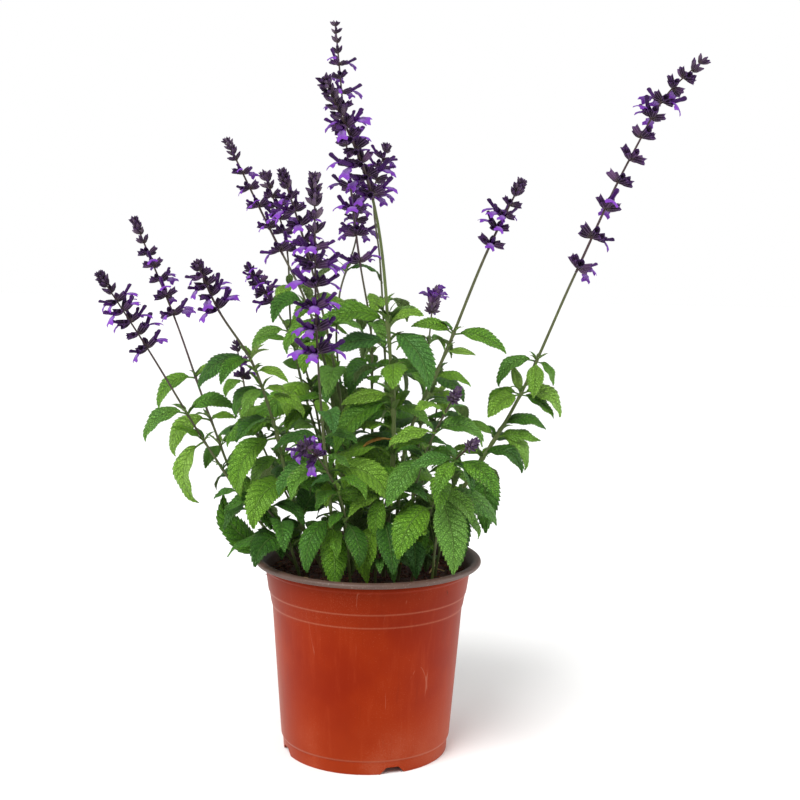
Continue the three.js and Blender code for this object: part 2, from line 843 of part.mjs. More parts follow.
function firstFit(base, stems, placed) {
  for (const pose of POSES) {
    for (const turn of TURNS) {
      const leaf = {
        ...base,
        yaw: base.yaw + rad(turn),
        rise: base.rise + rad(pose.rise),
        nod: base.nod + rad(pose.nod),
      };
      const samples = leafSamples(leaf);
      const fits =
        samples.every(clearOfPot) &&
        stems.every((stem) => clearOfStem(leaf, samples, stem)) &&
        placed.every((other) => clearOfLeaf(leaf, samples, other));
      if (fits) return { leaf, samples };
    }
  }
  return null;
}

// The leaves at one joint of a stem, counted from the top: a pair, and beside it a younger
// pair a quarter turn round, which is often missing but is full grown at the lowest joint of
// some stems.
function jointLeaves(stem, k) {
  const { pairs, axis, random } = stem;
  const distance = axis.reaches(pairs.top) - k * pairs.gap;
  if (k >= pairs.joints || distance < SOIL.holeDepth + STEM.lowestJoint) return [];
  return [0, 180, 90, 270].flatMap((side) => {
    const full = pairs.full && k === pairs.joints - 1;
    const young = side % 180 !== 0 && !full;
    const draw = Array.from({ length: 7 }, random);
    if (young && draw[6] > LEAF.youngShare) return [];
    const grown = young ? LEAF.young : LEAF.grown[Math.min(k, 2)];
    const yaw = pairs.turn + side + 90 * k + within(LEAF.aside, draw[5]);
    return {
      stem,
      young,
      root: axis.point(distance),
      length: pairs.leaf * grown * within(LEAF.size, draw[0]),
      rise: rad(young ? LEAF.youngRise : within(LEAF.rise, draw[1])),
      nod: rad(within(young ? LEAF.youngNod : LEAF.nod, draw[2])),
      fold: rad(within(LEAF.fold, draw[3])),
      roll: rad(within(LEAF.roll, draw[4]) + LEAF.tip * Math.cos(rad(yaw))),
      yaw: rad(yaw),
    };
  });
}

// The leaves of a stem that the list above gives one by one.
function chosenLeaves(stem) {
  return (stem.chosen ?? []).map(([height, yaw, length, rise, nod]) => ({
    stem,
    young: length < LEAF.youngUnder,
    root: stem.axis.point(stem.axis.reaches(height)),
    length,
    rise: rad(rise),
    nod: rad(nod),
    fold: rad(LEAF.chosenFold),
    roll: rad(LEAF.chosenTip) * Math.cos(rad(yaw)),
    yaw: rad(yaw),
  }));
}

// The chosen leaves are settled first, then every stem's top joint, then the next joint down
// of every stem.
function growLeaves(stems) {
  const placed = [];
  const settle = (base) => {
    const fit = firstFit(base, stems, placed);
    if (!fit) return;
    placed.push(fit);
    base.stem.leaves.push(fit.leaf);
  };
  stems.flatMap(chosenLeaves).forEach(settle);
  const joints = Math.max(...stems.map((stem) => stem.pairs.joints));
  for (let k = 0; k < joints; k++) {
    for (const stem of stems) jointLeaves(stem, k).forEach(settle);
  }
}

// ---------------------------------------------------------------- solids of a stem

function ringOf(mesh, centre, side, across, r, sides) {
  return Array.from({ length: sides }, (_, i) => {
    const a = (i * 2 * Math.PI) / sides;
    const corner = centre.clone().addScaledVector(side, r * Math.cos(a));
    return mesh.add(corner.addScaledVector(across, r * Math.sin(a)));
  });
}

function makeStem(stem) {
  const mesh = new Mesh();
  const rings = stemStations(stem).map((distance, i) => {
    const { side, across } = stem.path.frame(distance);
    const [a, b] = i === 0 ? [vec(1, 0, 0), vec(0, 1, 0)] : [side, across];
    return ringOf(mesh, stem.path.point(distance), a, b, stemRadius(stem, distance), 4);
  });
  rings.slice(1).forEach((high, i) => mesh.band(rings[i], high));
  mesh.face(...rings[0].toReversed());
  mesh.face(...rings.at(-1));
  return mesh.solid();
}

// ---------------------------------------------------------------- spikes

// Where the whorls sit on a spike, nearer together towards the tip, how grown each is, and
// which corner of the axis its first fan starts from: the fans turn a quarter at each whorl.
function whorlsOf({ spike, neck }) {
  return Array.from({ length: spike.whorls }, (_, k) => {
    const share = k / (spike.whorls - 1);
    const run = spike.length - WHORL.first - WHORL.tail;
    const distance = neck + WHORL.first + run * share * (1 + WHORL.crowd * (1 - share));
    const grown = 1 - WHORL.shrink * Math.pow(share, WHORL.shrinkPower);
    const size = grown * (spike.length < WHORL.budSpike ? WHORL.budSize : 1);
    return { distance, size, turn: k % 2 };
  });
}

// Whether a corner carries the first calyx of a fan, so that the fan's other one is the next.
function startsFan(whorl, corner) {
  return (corner + whorl.turn) % 2 === 0;
}

// The florets of a whorl: each stands out and a little up, and some are open.
function floretsOf(stem, whorl) {
  const { along, side, across } = stem.path.frame(whorl.distance);
  const n = WHORL.sides;
  return Array.from({ length: n }, (_, i) => {
    const draw = Array.from({ length: 4 }, stem.random);
    const inwards = rad(WHORL.squeeze) * (startsFan(whorl, i) ? 1 : -1);
    const azimuth = inwards + ((i + FLORET.swing * (draw[0] - 0.5)) * 2 * Math.PI) / n;
    const radial = side
      .clone()
      .multiplyScalar(Math.cos(azimuth))
      .addScaledVector(across, Math.sin(azimuth));
    const lean = rad(within(FLORET.lean, draw[1]));
    const axis = along.clone().multiplyScalar(Math.cos(lean)).addScaledVector(radial, Math.sin(lean));
    const step = (i % 2 ? 1 : -1) * WHORL.stagger * whorl.size;
    return {
      root: stem.path.point(whorl.distance).addScaledVector(along, step),
      radial,
      axis,
      up: axis.clone().cross(along.clone().cross(radial)).normalize(),
      flank: along.clone().cross(radial).normalize(),
      length: FLORET.calyx * whorl.size * within(FLORET.size, draw[2]),
      open: whorl.size > FLORET.openSize && draw[3] < stem.spike.open,
    };
  });
}

// A closed calyx is a four-sided point that rises from the corners around its foot.
function closedFloret(mesh, { low, high, before, after }, floret, r) {
  const foot = floret.root.clone().addScaledVector(floret.radial, r);
  const tip = mesh.add(foot.addScaledVector(floret.axis, floret.length));
  mesh.face(low, after, tip);
  mesh.face(low, tip, before);
  mesh.face(high, before, tip);
  mesh.face(high, tip, after);
}

// An open one ends in a four-cornered mouth, with a hood above and a two-lobed lip below.
function openFloret(mesh, { low, high, before, after }, floret, r, size) {
  const { root, radial, axis, up, flank, length } = floret;
  const mouth = root.clone().addScaledVector(radial, r).addScaledVector(axis, length * 0.82);
  const at = (out, rise, aside) =>
    mesh.add(
      mouth
        .clone()
        .addScaledVector(axis, out * size)
        .addScaledVector(up, rise * size)
        .addScaledVector(flank, aside * size),
    );
  const { mouthR, hood, lip, lipHalf } = FLORET;
  const below = at(0, -mouthR, 0);
  const right = at(0, 0, mouthR);
  const above = at(0, mouthR, 0);
  const left = at(0, 0, -mouthR);
  mesh.face(low, after, right, below);
  mesh.face(low, below, left, before);
  mesh.face(high, before, left, above);
  mesh.face(high, above, right, after);
  const hoodTip = at(hood, hood * 0.45, 0);
  mesh.face(right, above, hoodTip);
  mesh.face(above, left, hoodTip);
  mesh.face(left, right, hoodTip);
  const lobes = [-lipHalf, lipHalf].map((aside) => at(lip * 0.85, -lip * 0.5, aside));
  mesh.face(left, below, lobes[0]);
  mesh.face(below, lobes[1], lobes[0]);
  mesh.face(below, right, lobes[1]);
  mesh.face(right, left, lobes[0]);
  mesh.face(right, lobes[0], lobes[1]);
}

// A point beside a stem's path: how far along it, at what angle round it, and how far out.
function beside({ path }, distance, angle, out) {
  const { side, across } = path.frame(distance);
  const outwards = side.multiplyScalar(Math.cos(angle)).addScaledVector(across, Math.sin(angle));
  return path.point(distance).addScaledVector(outwards, out);
}

function makeSpike(stem) {
  const mesh = new Mesh();
  const n = WHORL.sides;
  const ringAt = (distance, r) => {
    const { side, across } = stem.path.frame(distance);
    return ringOf(mesh, stem.path.point(distance), side, across, r, n);
  };
  let last = ringAt(stem.neck + TOUCH / 2, SPIKE.rachisR);
  mesh.face(...last.toReversed());
  for (const whorl of whorlsOf(stem)) {
    const { distance, size } = whorl;
    const half = WHORL.halfHeight * size;
    const r = SPIKE.rachisR * (0.5 + 0.5 * size);
    const low = ringAt(distance - half, r);
    const valleys = low.map((_, i) => {
      const reach = size * (startsFan(whorl, i) ? WHORL.fanR : WHORL.gapR);
      return mesh.add(beside(stem, distance, ((i + 0.5) * 2 * Math.PI) / n, reach));
    });
    const high = ringAt(distance + half, r);
    mesh.band(last, low);
    for (const [i, floret] of floretsOf(stem, whorl).entries()) {
      const j = (i + 1) % n;
      mesh.face(low[i], low[j], valleys[i]);
      mesh.face(high[i], valleys[i], high[j]);
      const before = valleys[(i + n - 1) % n];
      const corners = { low: low[i], high: high[i], before, after: valleys[i] };
      if (floret.open) openFloret(mesh, corners, floret, r, size);
      else closedFloret(mesh, corners, floret, r);
    }
    last = high;
  }
  const end = stem.path.length;
  const tip = mesh.add(stem.path.point(end).addScaledVector(stem.path.frame(end).along, SPIKE.tip));
  for (let i = 0; i < n; i++) mesh.face(last[i], last[(i + 1) % n], tip);
  return mesh.solid();
}

// ---------------------------------------------------------------- assembly

const plant = new THREE.Group();

function place(name, solid, colour, roughness) {
  const material = new THREE.MeshStandardMaterial({ color: colour, roughness, metalness: 0 });
  const mesh = new THREE.Mesh(geometryOf(solid), material);
  mesh.name = name;
  plant.add(mesh);
}

const stems = STEMS.map(growStem);
growLeaves(stems);

place("pot", makePot(), COLOURS.pot, 0.45);
place("potting_mix", makeSoil(), COLOURS.soil, 0.95);
for (const stem of stems) {
  const leafy = stem.leaves.reduce((solid, leaf) => solid.add(makeLeaf(leaf)), makeStem(stem));
  place("leafy_stem_" + stem.name, leafy, COLOURS.leaves, 0.6);
  if (stem.spike) place("flower_spike_" + stem.name, makeSpike(stem), COLOURS.flowers, 0.7);
}

export default plant;
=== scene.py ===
# %% [markdown]
# # A flowering salvia in its nursery pot
#
# The plant is a clump of square stems. Each carries pairs of toothed, quilted leaves and,
# above a bare length, a spike of dark calyces with violet two-lipped flowers. The pot is thin
# moulded plastic, brick red outside and grey-brown inside.
#
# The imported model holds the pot, the mix, the stems, their main leaves and the flowers as plain
# solids. This file keeps their places, gives each a finer form and a finish of its own, and adds
# the small leaves, the buds, and the crumbs and fibres on the mix.

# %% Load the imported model
from collections import namedtuple
from math import cos, pi, radians, sin

import bmesh
import bpy
import numpy as np
from mathutils import Matrix, Vector, noise


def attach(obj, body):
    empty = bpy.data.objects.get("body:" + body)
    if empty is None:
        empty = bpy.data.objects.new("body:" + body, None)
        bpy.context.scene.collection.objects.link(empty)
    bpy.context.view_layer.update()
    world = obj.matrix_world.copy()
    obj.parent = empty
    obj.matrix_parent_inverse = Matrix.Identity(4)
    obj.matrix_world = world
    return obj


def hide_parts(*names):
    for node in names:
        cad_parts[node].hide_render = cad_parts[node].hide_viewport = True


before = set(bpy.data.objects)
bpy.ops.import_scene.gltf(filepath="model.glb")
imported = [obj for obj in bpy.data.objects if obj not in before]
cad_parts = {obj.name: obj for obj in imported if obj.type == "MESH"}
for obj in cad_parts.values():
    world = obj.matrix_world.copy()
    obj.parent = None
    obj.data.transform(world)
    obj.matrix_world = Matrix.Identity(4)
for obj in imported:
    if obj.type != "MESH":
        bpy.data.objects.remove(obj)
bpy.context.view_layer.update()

MM = 0.001
BODY = "root"
UP = np.array([0.0, 0.0, 1.0])

# %% [markdown]
# ## Camera
#
# The camera stands a good metre in front of the plant, a little above the flowers' middle, and
# looks slightly down, so that the soil shows inside the rim. A moderately long lens keeps the
# pot's sides nearly straight. Its axes are built from three small angles rather than by
# tracking a target, because the view has a slight roll.

# %% Camera
CAMERA_PLACE = Vector((0.0, -1.150, 0.4504))
CAMERA_PITCH = 0.133  # radians, looking down
CAMERA_PAN = 0.021
CAMERA_ROLL = 0.020
FOCAL_WIDTHS = 1.7525  # focal length in widths of the picture
SENSOR = 36.0


def camera_axes():
    level = cos(CAMERA_PITCH)
    ahead = Vector((sin(CAMERA_PAN) * level, cos(CAMERA_PAN) * level, -sin(CAMERA_PITCH)))
    right = ahead.cross(Vector((0, 0, 1))).normalized()
    upward = right.cross(ahead)
    turned = cos(CAMERA_ROLL) * right + sin(CAMERA_ROLL) * upward
    return turned, cos(CAMERA_ROLL) * upward - sin(CAMERA_ROLL) * right, -ahead


def shown(name, data):
    """A new object in the scene."""
    thing = bpy.data.objects.new(name, data)
    bpy.context.scene.collection.objects.link(thing)
    return thing


def make_camera():
    data = bpy.data.cameras.new("camera")
    data.sensor_width = SENSOR
    data.lens = FOCAL_WIDTHS * SENSOR
    data.clip_start, data.clip_end = 0.05, 20
    camera = shown("camera", data)
    turn = Matrix([list(axis) for axis in camera_axes()]).transposed().to_4x4()
    camera.matrix_world = Matrix.Translation(CAMERA_PLACE) @ turn
    bpy.context.scene.camera = camera
    return camera


print("lens:", round(make_camera().data.lens, 1), "mm")

# %% [markdown]
# ## Drawing node trees as expressions
#
# Materials and geometry trees are both graphs of nodes. Wiring them by hand takes three lines
# a node, so a small class stands for one output of a node and overloads the operators: a sum of
# two outputs adds the Math node that works it out. Everything else comes from one method, add.


# %% A sheet of nodes and its wires
class Wire:
    """One output of a node. An expression on wires adds its Math nodes."""

    def __init__(self, sheet, socket):
        self.sheet = sheet
        self.socket = socket

    def math(self, operation, *others, clamp=False):
        settings = {"operation": operation, "use_clamp": clamp}
        return self.sheet.add("ShaderNodeMath", settings, [self, *others])

    def out(self, name):
        return Wire(self.sheet, self.socket.node.outputs[name])

    def __add__(self, other):
        return self.math("ADD", other)

    def __sub__(self, other):
        return self.math("SUBTRACT", other)

    def __rsub__(self, other):
        return self.sheet.add("ShaderNodeMath", {"operation": "SUBTRACT"}, [other, self])

    def __mul__(self, other):
        return self.math("MULTIPLY", other)

    def __pow__(self, other):
        return self.math("POWER", other)

    def __abs__(self):
        return self.math("ABSOLUTE")

    __radd__ = __add__
    __rmul__ = __mul__

    def clamped(self):
        return self.math("ADD", 0.0, clamp=True)

    def step(self, low, high):
        """0 below low and 1 above high, or the other way round where low is the larger."""
        limits = {"From Min": low, "From Max": high, "To Min": 0.0, "To Max": 1.0}
        settings = {"interpolation_type": "SMOOTHSTEP"}
        return self.sheet.add("ShaderNodeMapRange", settings, {"Value": self, **limits})


class Sheet:
    """A node tree under construction."""

    def __init__(self, tree):
        self.tree = tree

    def add(self, kind, settings, inputs=(), output=0):
        """A node with its settings first and then its inputs; gives one of its outputs."""
        node = self.tree.nodes.new(kind)
        for key, value in settings.items():
            if key == "stops":
                self.set_stops(node.color_ramp, value)
            else:
                setattr(node, key, value)
        named = inputs.items() if isinstance(inputs, dict) else enumerate(inputs)
        for key, value in named:
            if isinstance(value, Wire):
                self.tree.links.new(value.socket, node.inputs[key])
            else:
                node.inputs[key].default_value = value
        return Wire(self, node.outputs[output]) if node.outputs else None

    @staticmethod
    def set_stops(ramp, stops):
        while len(ramp.elements) < len(stops):
            ramp.elements.new(1.0)
        for element, (place, colour) in zip(ramp.elements, stops):
            element.position = place
            element.color = colour

    def blend(self, share, first, second):
        """A colour between two. The node has four sets of sockets; its colours are the third."""
        inputs = {0: share, 6: first, 7: second}
        return self.add("ShaderNodeMix", {"data_type": "RGBA"}, inputs, output=2)

    def ramp(self, share, *stops):
        return self.add("ShaderNodeValToRGB", {"stops": stops}, [share])

    def noise(self, place, scale, detail, roughness=0.5):
        inputs = {"Vector": place, "Scale": scale, "Detail": detail, "Roughness": roughness}
        return self.add("ShaderNodeTexNoise", {}, inputs)

    def attribute(self, name):
        settings = {"attribute_name": name}
        return self.add("ShaderNodeAttribute", settings).out("Fac")

    def stretched(self, place, scale):
        return self.add("ShaderNodeMapping", {}, {"Vector": place, "Scale": scale})

    def bump(self, height, distance, strength):
        inputs = {"Strength": strength, "Distance": distance, "Height": height}
        return self.add("ShaderNodeBump", {}, inputs)

    def random(self, low, high, seed):
        """A number for each point, drawn evenly between two limits."""
        inputs = {2: low, 3: high, "Seed": seed}
        return self.add("FunctionNodeRandomValue", {"data_type": "FLOAT"}, inputs, output=1)

    def join(self, *wires):
        node = self.tree.nodes.new("GeometryNodeJoinGeometry")
        for wire in wires:
            self.tree.links.new(wire.socket, node.inputs[0])
        return Wire(self, node.outputs[0])


def hexa(code):
    """A colour written as a web colour, as the linear values that a shader takes."""
    parts = [int(code[i : i + 2], 16) / 255 for i in (1, 3, 5)]
    linear = [p / 12.92 if p <= 0.04045 else ((p + 0.055) / 1.055) ** 2.4 for p in parts]
    return (*linear, 1.0)


def new_material(name):
    """A material's sheet, its shader's node and the piece's own coordinates."""
    material = bpy.data.materials.new(name)
    material.use_nodes = True
    sheet = Sheet(material.node_tree)
    shader = material.node_tree.nodes["Principled BSDF"]
    place = sheet.add("ShaderNodeTexCoord", {}, (), "Object")
    return material, sheet, shader, place


def feed(sheet, shader, **sockets):
    """Gives the shader's sockets their numbers or wires; an underscore stands for a space."""
    for key, value in sockets.items():
        socket = shader.inputs[key.replace("_", " ")]
        if isinstance(value, Wire):
            sheet.tree.links.new(value.socket, socket)
        else:
            socket.default_value = value


print("a terracotta red in linear light:", [round(x, 3) for x in hexa("#b0381b")[:3]])

# %% [markdown]
# ## Leaves that look alive
#
# A salvia leaf is dull green above, with a sunken net of veins between raised cushions, and
# paler grey-green and downy beneath. One green would look like plastic, so each leaf carries a
# tone of its own, from the blue-green of an old shaded leaf to the yellow-green of a young one.
# The veins follow the leaf, so they are drawn from its UV map: u runs across and v from the
# stalk to the tip.

# %% Leaf material
LEAF_VEINS = 11.0  # side veins on each half
VEIN_SLANT = 0.17  # how far towards the tip a vein has run when it meets the edge
BLUE_DRAW = 53.0  # the digits of a leaf's tone left after this product pick the bluer leaves


def uv_of(sheet):
    """The two directions of the piece's own UV map, as numbers."""
    parts = sheet.add("ShaderNodeSeparateXYZ", {}, [sheet.add("ShaderNodeUVMap", {"uv_map": "leaf"})])
    return parts, parts.out("Y")


def leaf_relief(sheet, place, mottle):
    """How far aside of the rib a point lies, and where cushions and each kind of vein are."""
    u, along = uv_of(sheet)
    across = abs(u * 2.0 - 1.0)
    # A saw-tooth along the leaf, bent forward with the veins, is nearest to a half at a vein.
    strayed = along - across * VEIN_SLANT + (mottle - 0.5) * 0.03
    puff = abs((strayed * LEAF_VEINS).math("FRACT") - 0.5) * 2.0
    side_vein = puff.step(0.2, 0.04) * across.step(1.0, 0.8)
    cells = {"Vector": place, "Scale": 620.0}
    net = sheet.add("ShaderNodeTexVoronoi", {"feature": "DISTANCE_TO_EDGE"}, cells).step(0.16, 0.0)
    return across, puff, side_vein, across.step(0.07, 0.02), net


def leaf_material():
    material, sheet, shader, place = new_material("leaf")
    tone = sheet.attribute("tone")
    under = sheet.attribute("under")
    cloud = sheet.noise(place, 38.0, 4.0)
    mottle = sheet.noise(place, 260.0, 3.0, 0.6)
    across, puff, side_vein, midrib, net = leaf_relief(sheet, place, mottle)
    shade = (tone + (cloud - 0.5) * 0.55 + (mottle - 0.5) * 0.2).clamped()
    # painted highlight: the raised cushions between the veins a little lighter
    tone_and_cushion_highlight = (shade + (puff - 0.6) * 0.1).clamped()
    top = sheet.ramp(
        tone_and_cushion_highlight,
        (0.0, hexa("#33601b")),
        (0.25, hexa("#528a21")),
        (0.55, hexa("#74a829")),
        (0.8, hexa("#87b83a")),
        (1.0, hexa("#98c255")),
    )
    bluer = (tone * BLUE_DRAW).math("FRACT").step(0.45, 1.0)
    top = sheet.blend(bluer * 0.5, top, hexa("#4f8644"))
    # painted shade: the sunken side veins darker
    top = sheet.blend(side_vein * 0.18, top, hexa("#2d5514"))
    top = sheet.blend(midrib * 0.22, top, hexa("#9ab565"))
    # painted shade: the sunken net of fine veins darker
    top = sheet.blend(net * 0.3, top, hexa("#2f5716"))
    below = sheet.blend(shade, hexa("#587539"), hexa("#8aa65a"))
    veins = midrib.math("MAXIMUM", side_vein * 0.6)
    below = sheet.blend(veins * 0.6, below, hexa("#a3b878"))
    colour = sheet.blend(under, top, below)
    edge = across.step(0.9, 1.0) * (mottle - 0.35).step(0.0, 0.35)
    colour = sheet.blend(edge * 0.35, colour, hexa("#5d4a24"))
    dry = sheet.blend(cloud.step(0.35, 0.65), hexa("#d8a94c"), hexa("#a87a35"))
    colour = sheet.blend(sheet.attribute("wither"), colour, dry)
    rough = under * 0.16 + 0.46 + (mottle - 0.5) * 0.2
    relief = net * -0.8 - side_vein - midrib * 1.2 + mottle * 0.5
    normal = sheet.bump(relief, 1.3 * MM, 1.0)
    feed(sheet, shader, Base_Color=colour, Roughness=rough, Normal=normal, Specular_IOR_Level=0.3)
    return material


LEAF_SKIN = leaf_material()
print("leaf material nodes:", len(LEAF_SKIN.node_tree.nodes))

# %% [markdown]
# ## Stems, calyces and corollas
#
# A stem is olive green at the foot and flushes brown-purple towards its flowers, with fine
# streaks along it. The calyces are nearly black, velvety and ribbed. The corollas are violet:
# deep on the hood, lighter on the lip, with a pale mark in the throat. What changes along a
# piece is read from attributes that the mesh carries.


# %% Stem material
def stem_material():
    material, sheet, shader, place = new_material("stem")
    rise = sheet.attribute("rise")
    flush = sheet.attribute("flush")
    streaks = sheet.noise(sheet.stretched(place, (900.0, 900.0, 45.0)), 1.0, 3.0, 0.6)
    patches = sheet.noise(place, 30.0, 2.0)
    red = ((rise - 0.55) * 1.5 + flush + (patches - 0.5) * 0.6).clamped()
    green = sheet.blend(rise.step(0.0, 0.3), hexa("#4b4a26"), hexa("#55662c"))
    colour = sheet.blend(red, green, hexa("#3b2529"))
    colour = sheet.blend(streaks.step(0.5, 0.75) * (0.4 - red * 0.26), colour, hexa("#86845a"))
    colour = sheet.blend(streaks.step(0.45, 0.3) * 0.45, colour, hexa("#37321d"))
    normal = sheet.bump(streaks, 0.2 * MM, 0.5)
    feed(sheet, shader, Base_Color=colour, Roughness=0.5 + streaks * 0.15, Normal=normal)
    return material


# %% Calyx material
CALYX_RIBS = 8.0


def calyx_material():
    material, sheet, shader, place = new_material("calyx")
    around, along = uv_of(sheet)
    tone = sheet.attribute("tone")
    rib = (around * (2 * pi * CALYX_RIBS)).math("COSINE") * 0.5 + 0.5
    fuzz = sheet.noise(place, 900.0, 3.0, 0.7)
    body = sheet.ramp(
        tone,
        (0.0, hexa("#0e0711")),
        (0.45, hexa("#221327")),
        (0.8, hexa("#422a48")),
        (1.0, hexa("#75557b")),
    )
    in_bud = sheet.attribute("bud")
    body = sheet.blend((tone * 1.4 - 0.68).clamped() * in_bud, body, hexa("#6d6763"))
    colour = sheet.blend(along.step(0.35, 0.0) * 0.6, body, hexa("#55523a"))
    colour = sheet.blend(along.step(0.6, 1.05) * 0.62, colour, hexa("#4c2270"))
    colour = sheet.blend(rib ** 4.0 * 0.48, colour, hexa("#7d6186"))
    colour = sheet.blend((fuzz - 0.42).step(0.0, 0.3) * 0.2, colour, hexa("#63476f"))
    normal = sheet.bump(rib * 0.7 + fuzz * 0.5, 0.3 * MM, 0.7)
    feed(sheet, shader, Base_Color=colour, Roughness=0.66 + fuzz * 0.2, Normal=normal)
    feed(sheet, shader, Specular_IOR_Level=0.15)
    return material


# %% Corolla material
def corolla_material():
    material, sheet, shader, place = new_material("corolla")
    lip = sheet.attribute("lip")
    throat = sheet.attribute("throat")
    tone = sheet.attribute("tone")
    cloud = sheet.noise(place, 420.0, 3.0, 0.6)
    share = (lip + (cloud - 0.5) * 0.35 + (tone - 0.5) * 0.3).clamped()
    colour = sheet.ramp(
        share,
        (0.0, hexa("#260a38")),
        (0.35, hexa("#42125f")),
        (0.7, hexa("#622592")),
        (1.0, hexa("#7a3aae")),
    )
    colour = sheet.blend(throat * 0.4, colour, hexa("#d0bbe8"))
    fine = sheet.noise(place, 1500.0, 2.0)
    normal = sheet.bump(fine, 0.15 * MM, 0.4)
    feed(sheet, shader, Base_Color=colour, Roughness=0.5 + cloud * 0.12, Normal=normal)
    feed(sheet, shader, Specular_IOR_Level=0.2)
    return material


STEM_BARK = stem_material()
CALYX_SKIN = calyx_material()
COROLLA_SKIN = corolla_material()
print("flower materials:", [m.name for m in (STEM_BARK, CALYX_SKIN, COROLLA_SKIN)])

# %% [markdown]
# ## How the plant grows
#
# Scattering leaves at random gives a hedge, not a salvia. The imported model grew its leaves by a
# rule, and this file follows the same rule, so that each fine leaf lies where its solid lies:
# opposite pairs at the joints of each stem, every pair a quarter turn from the last, each leaf
# turned, lifted or hung until it is clear of the rest. The random numbers come from a small
# seeded stream that gives the same plant each time. The plan of the stems repeats that of the
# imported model, number for number. All of it is in millimetres.

# %% Where each stem stands and where it goes
Pairs = namedtuple("Pairs", "top turn gap joints leaf full", defaults=[False])
Spike = namedtuple("Spike", "length whorls open")
Plan = namedtuple("Plan", "name foot via pairs girth spike chosen", defaults=[None, ()])

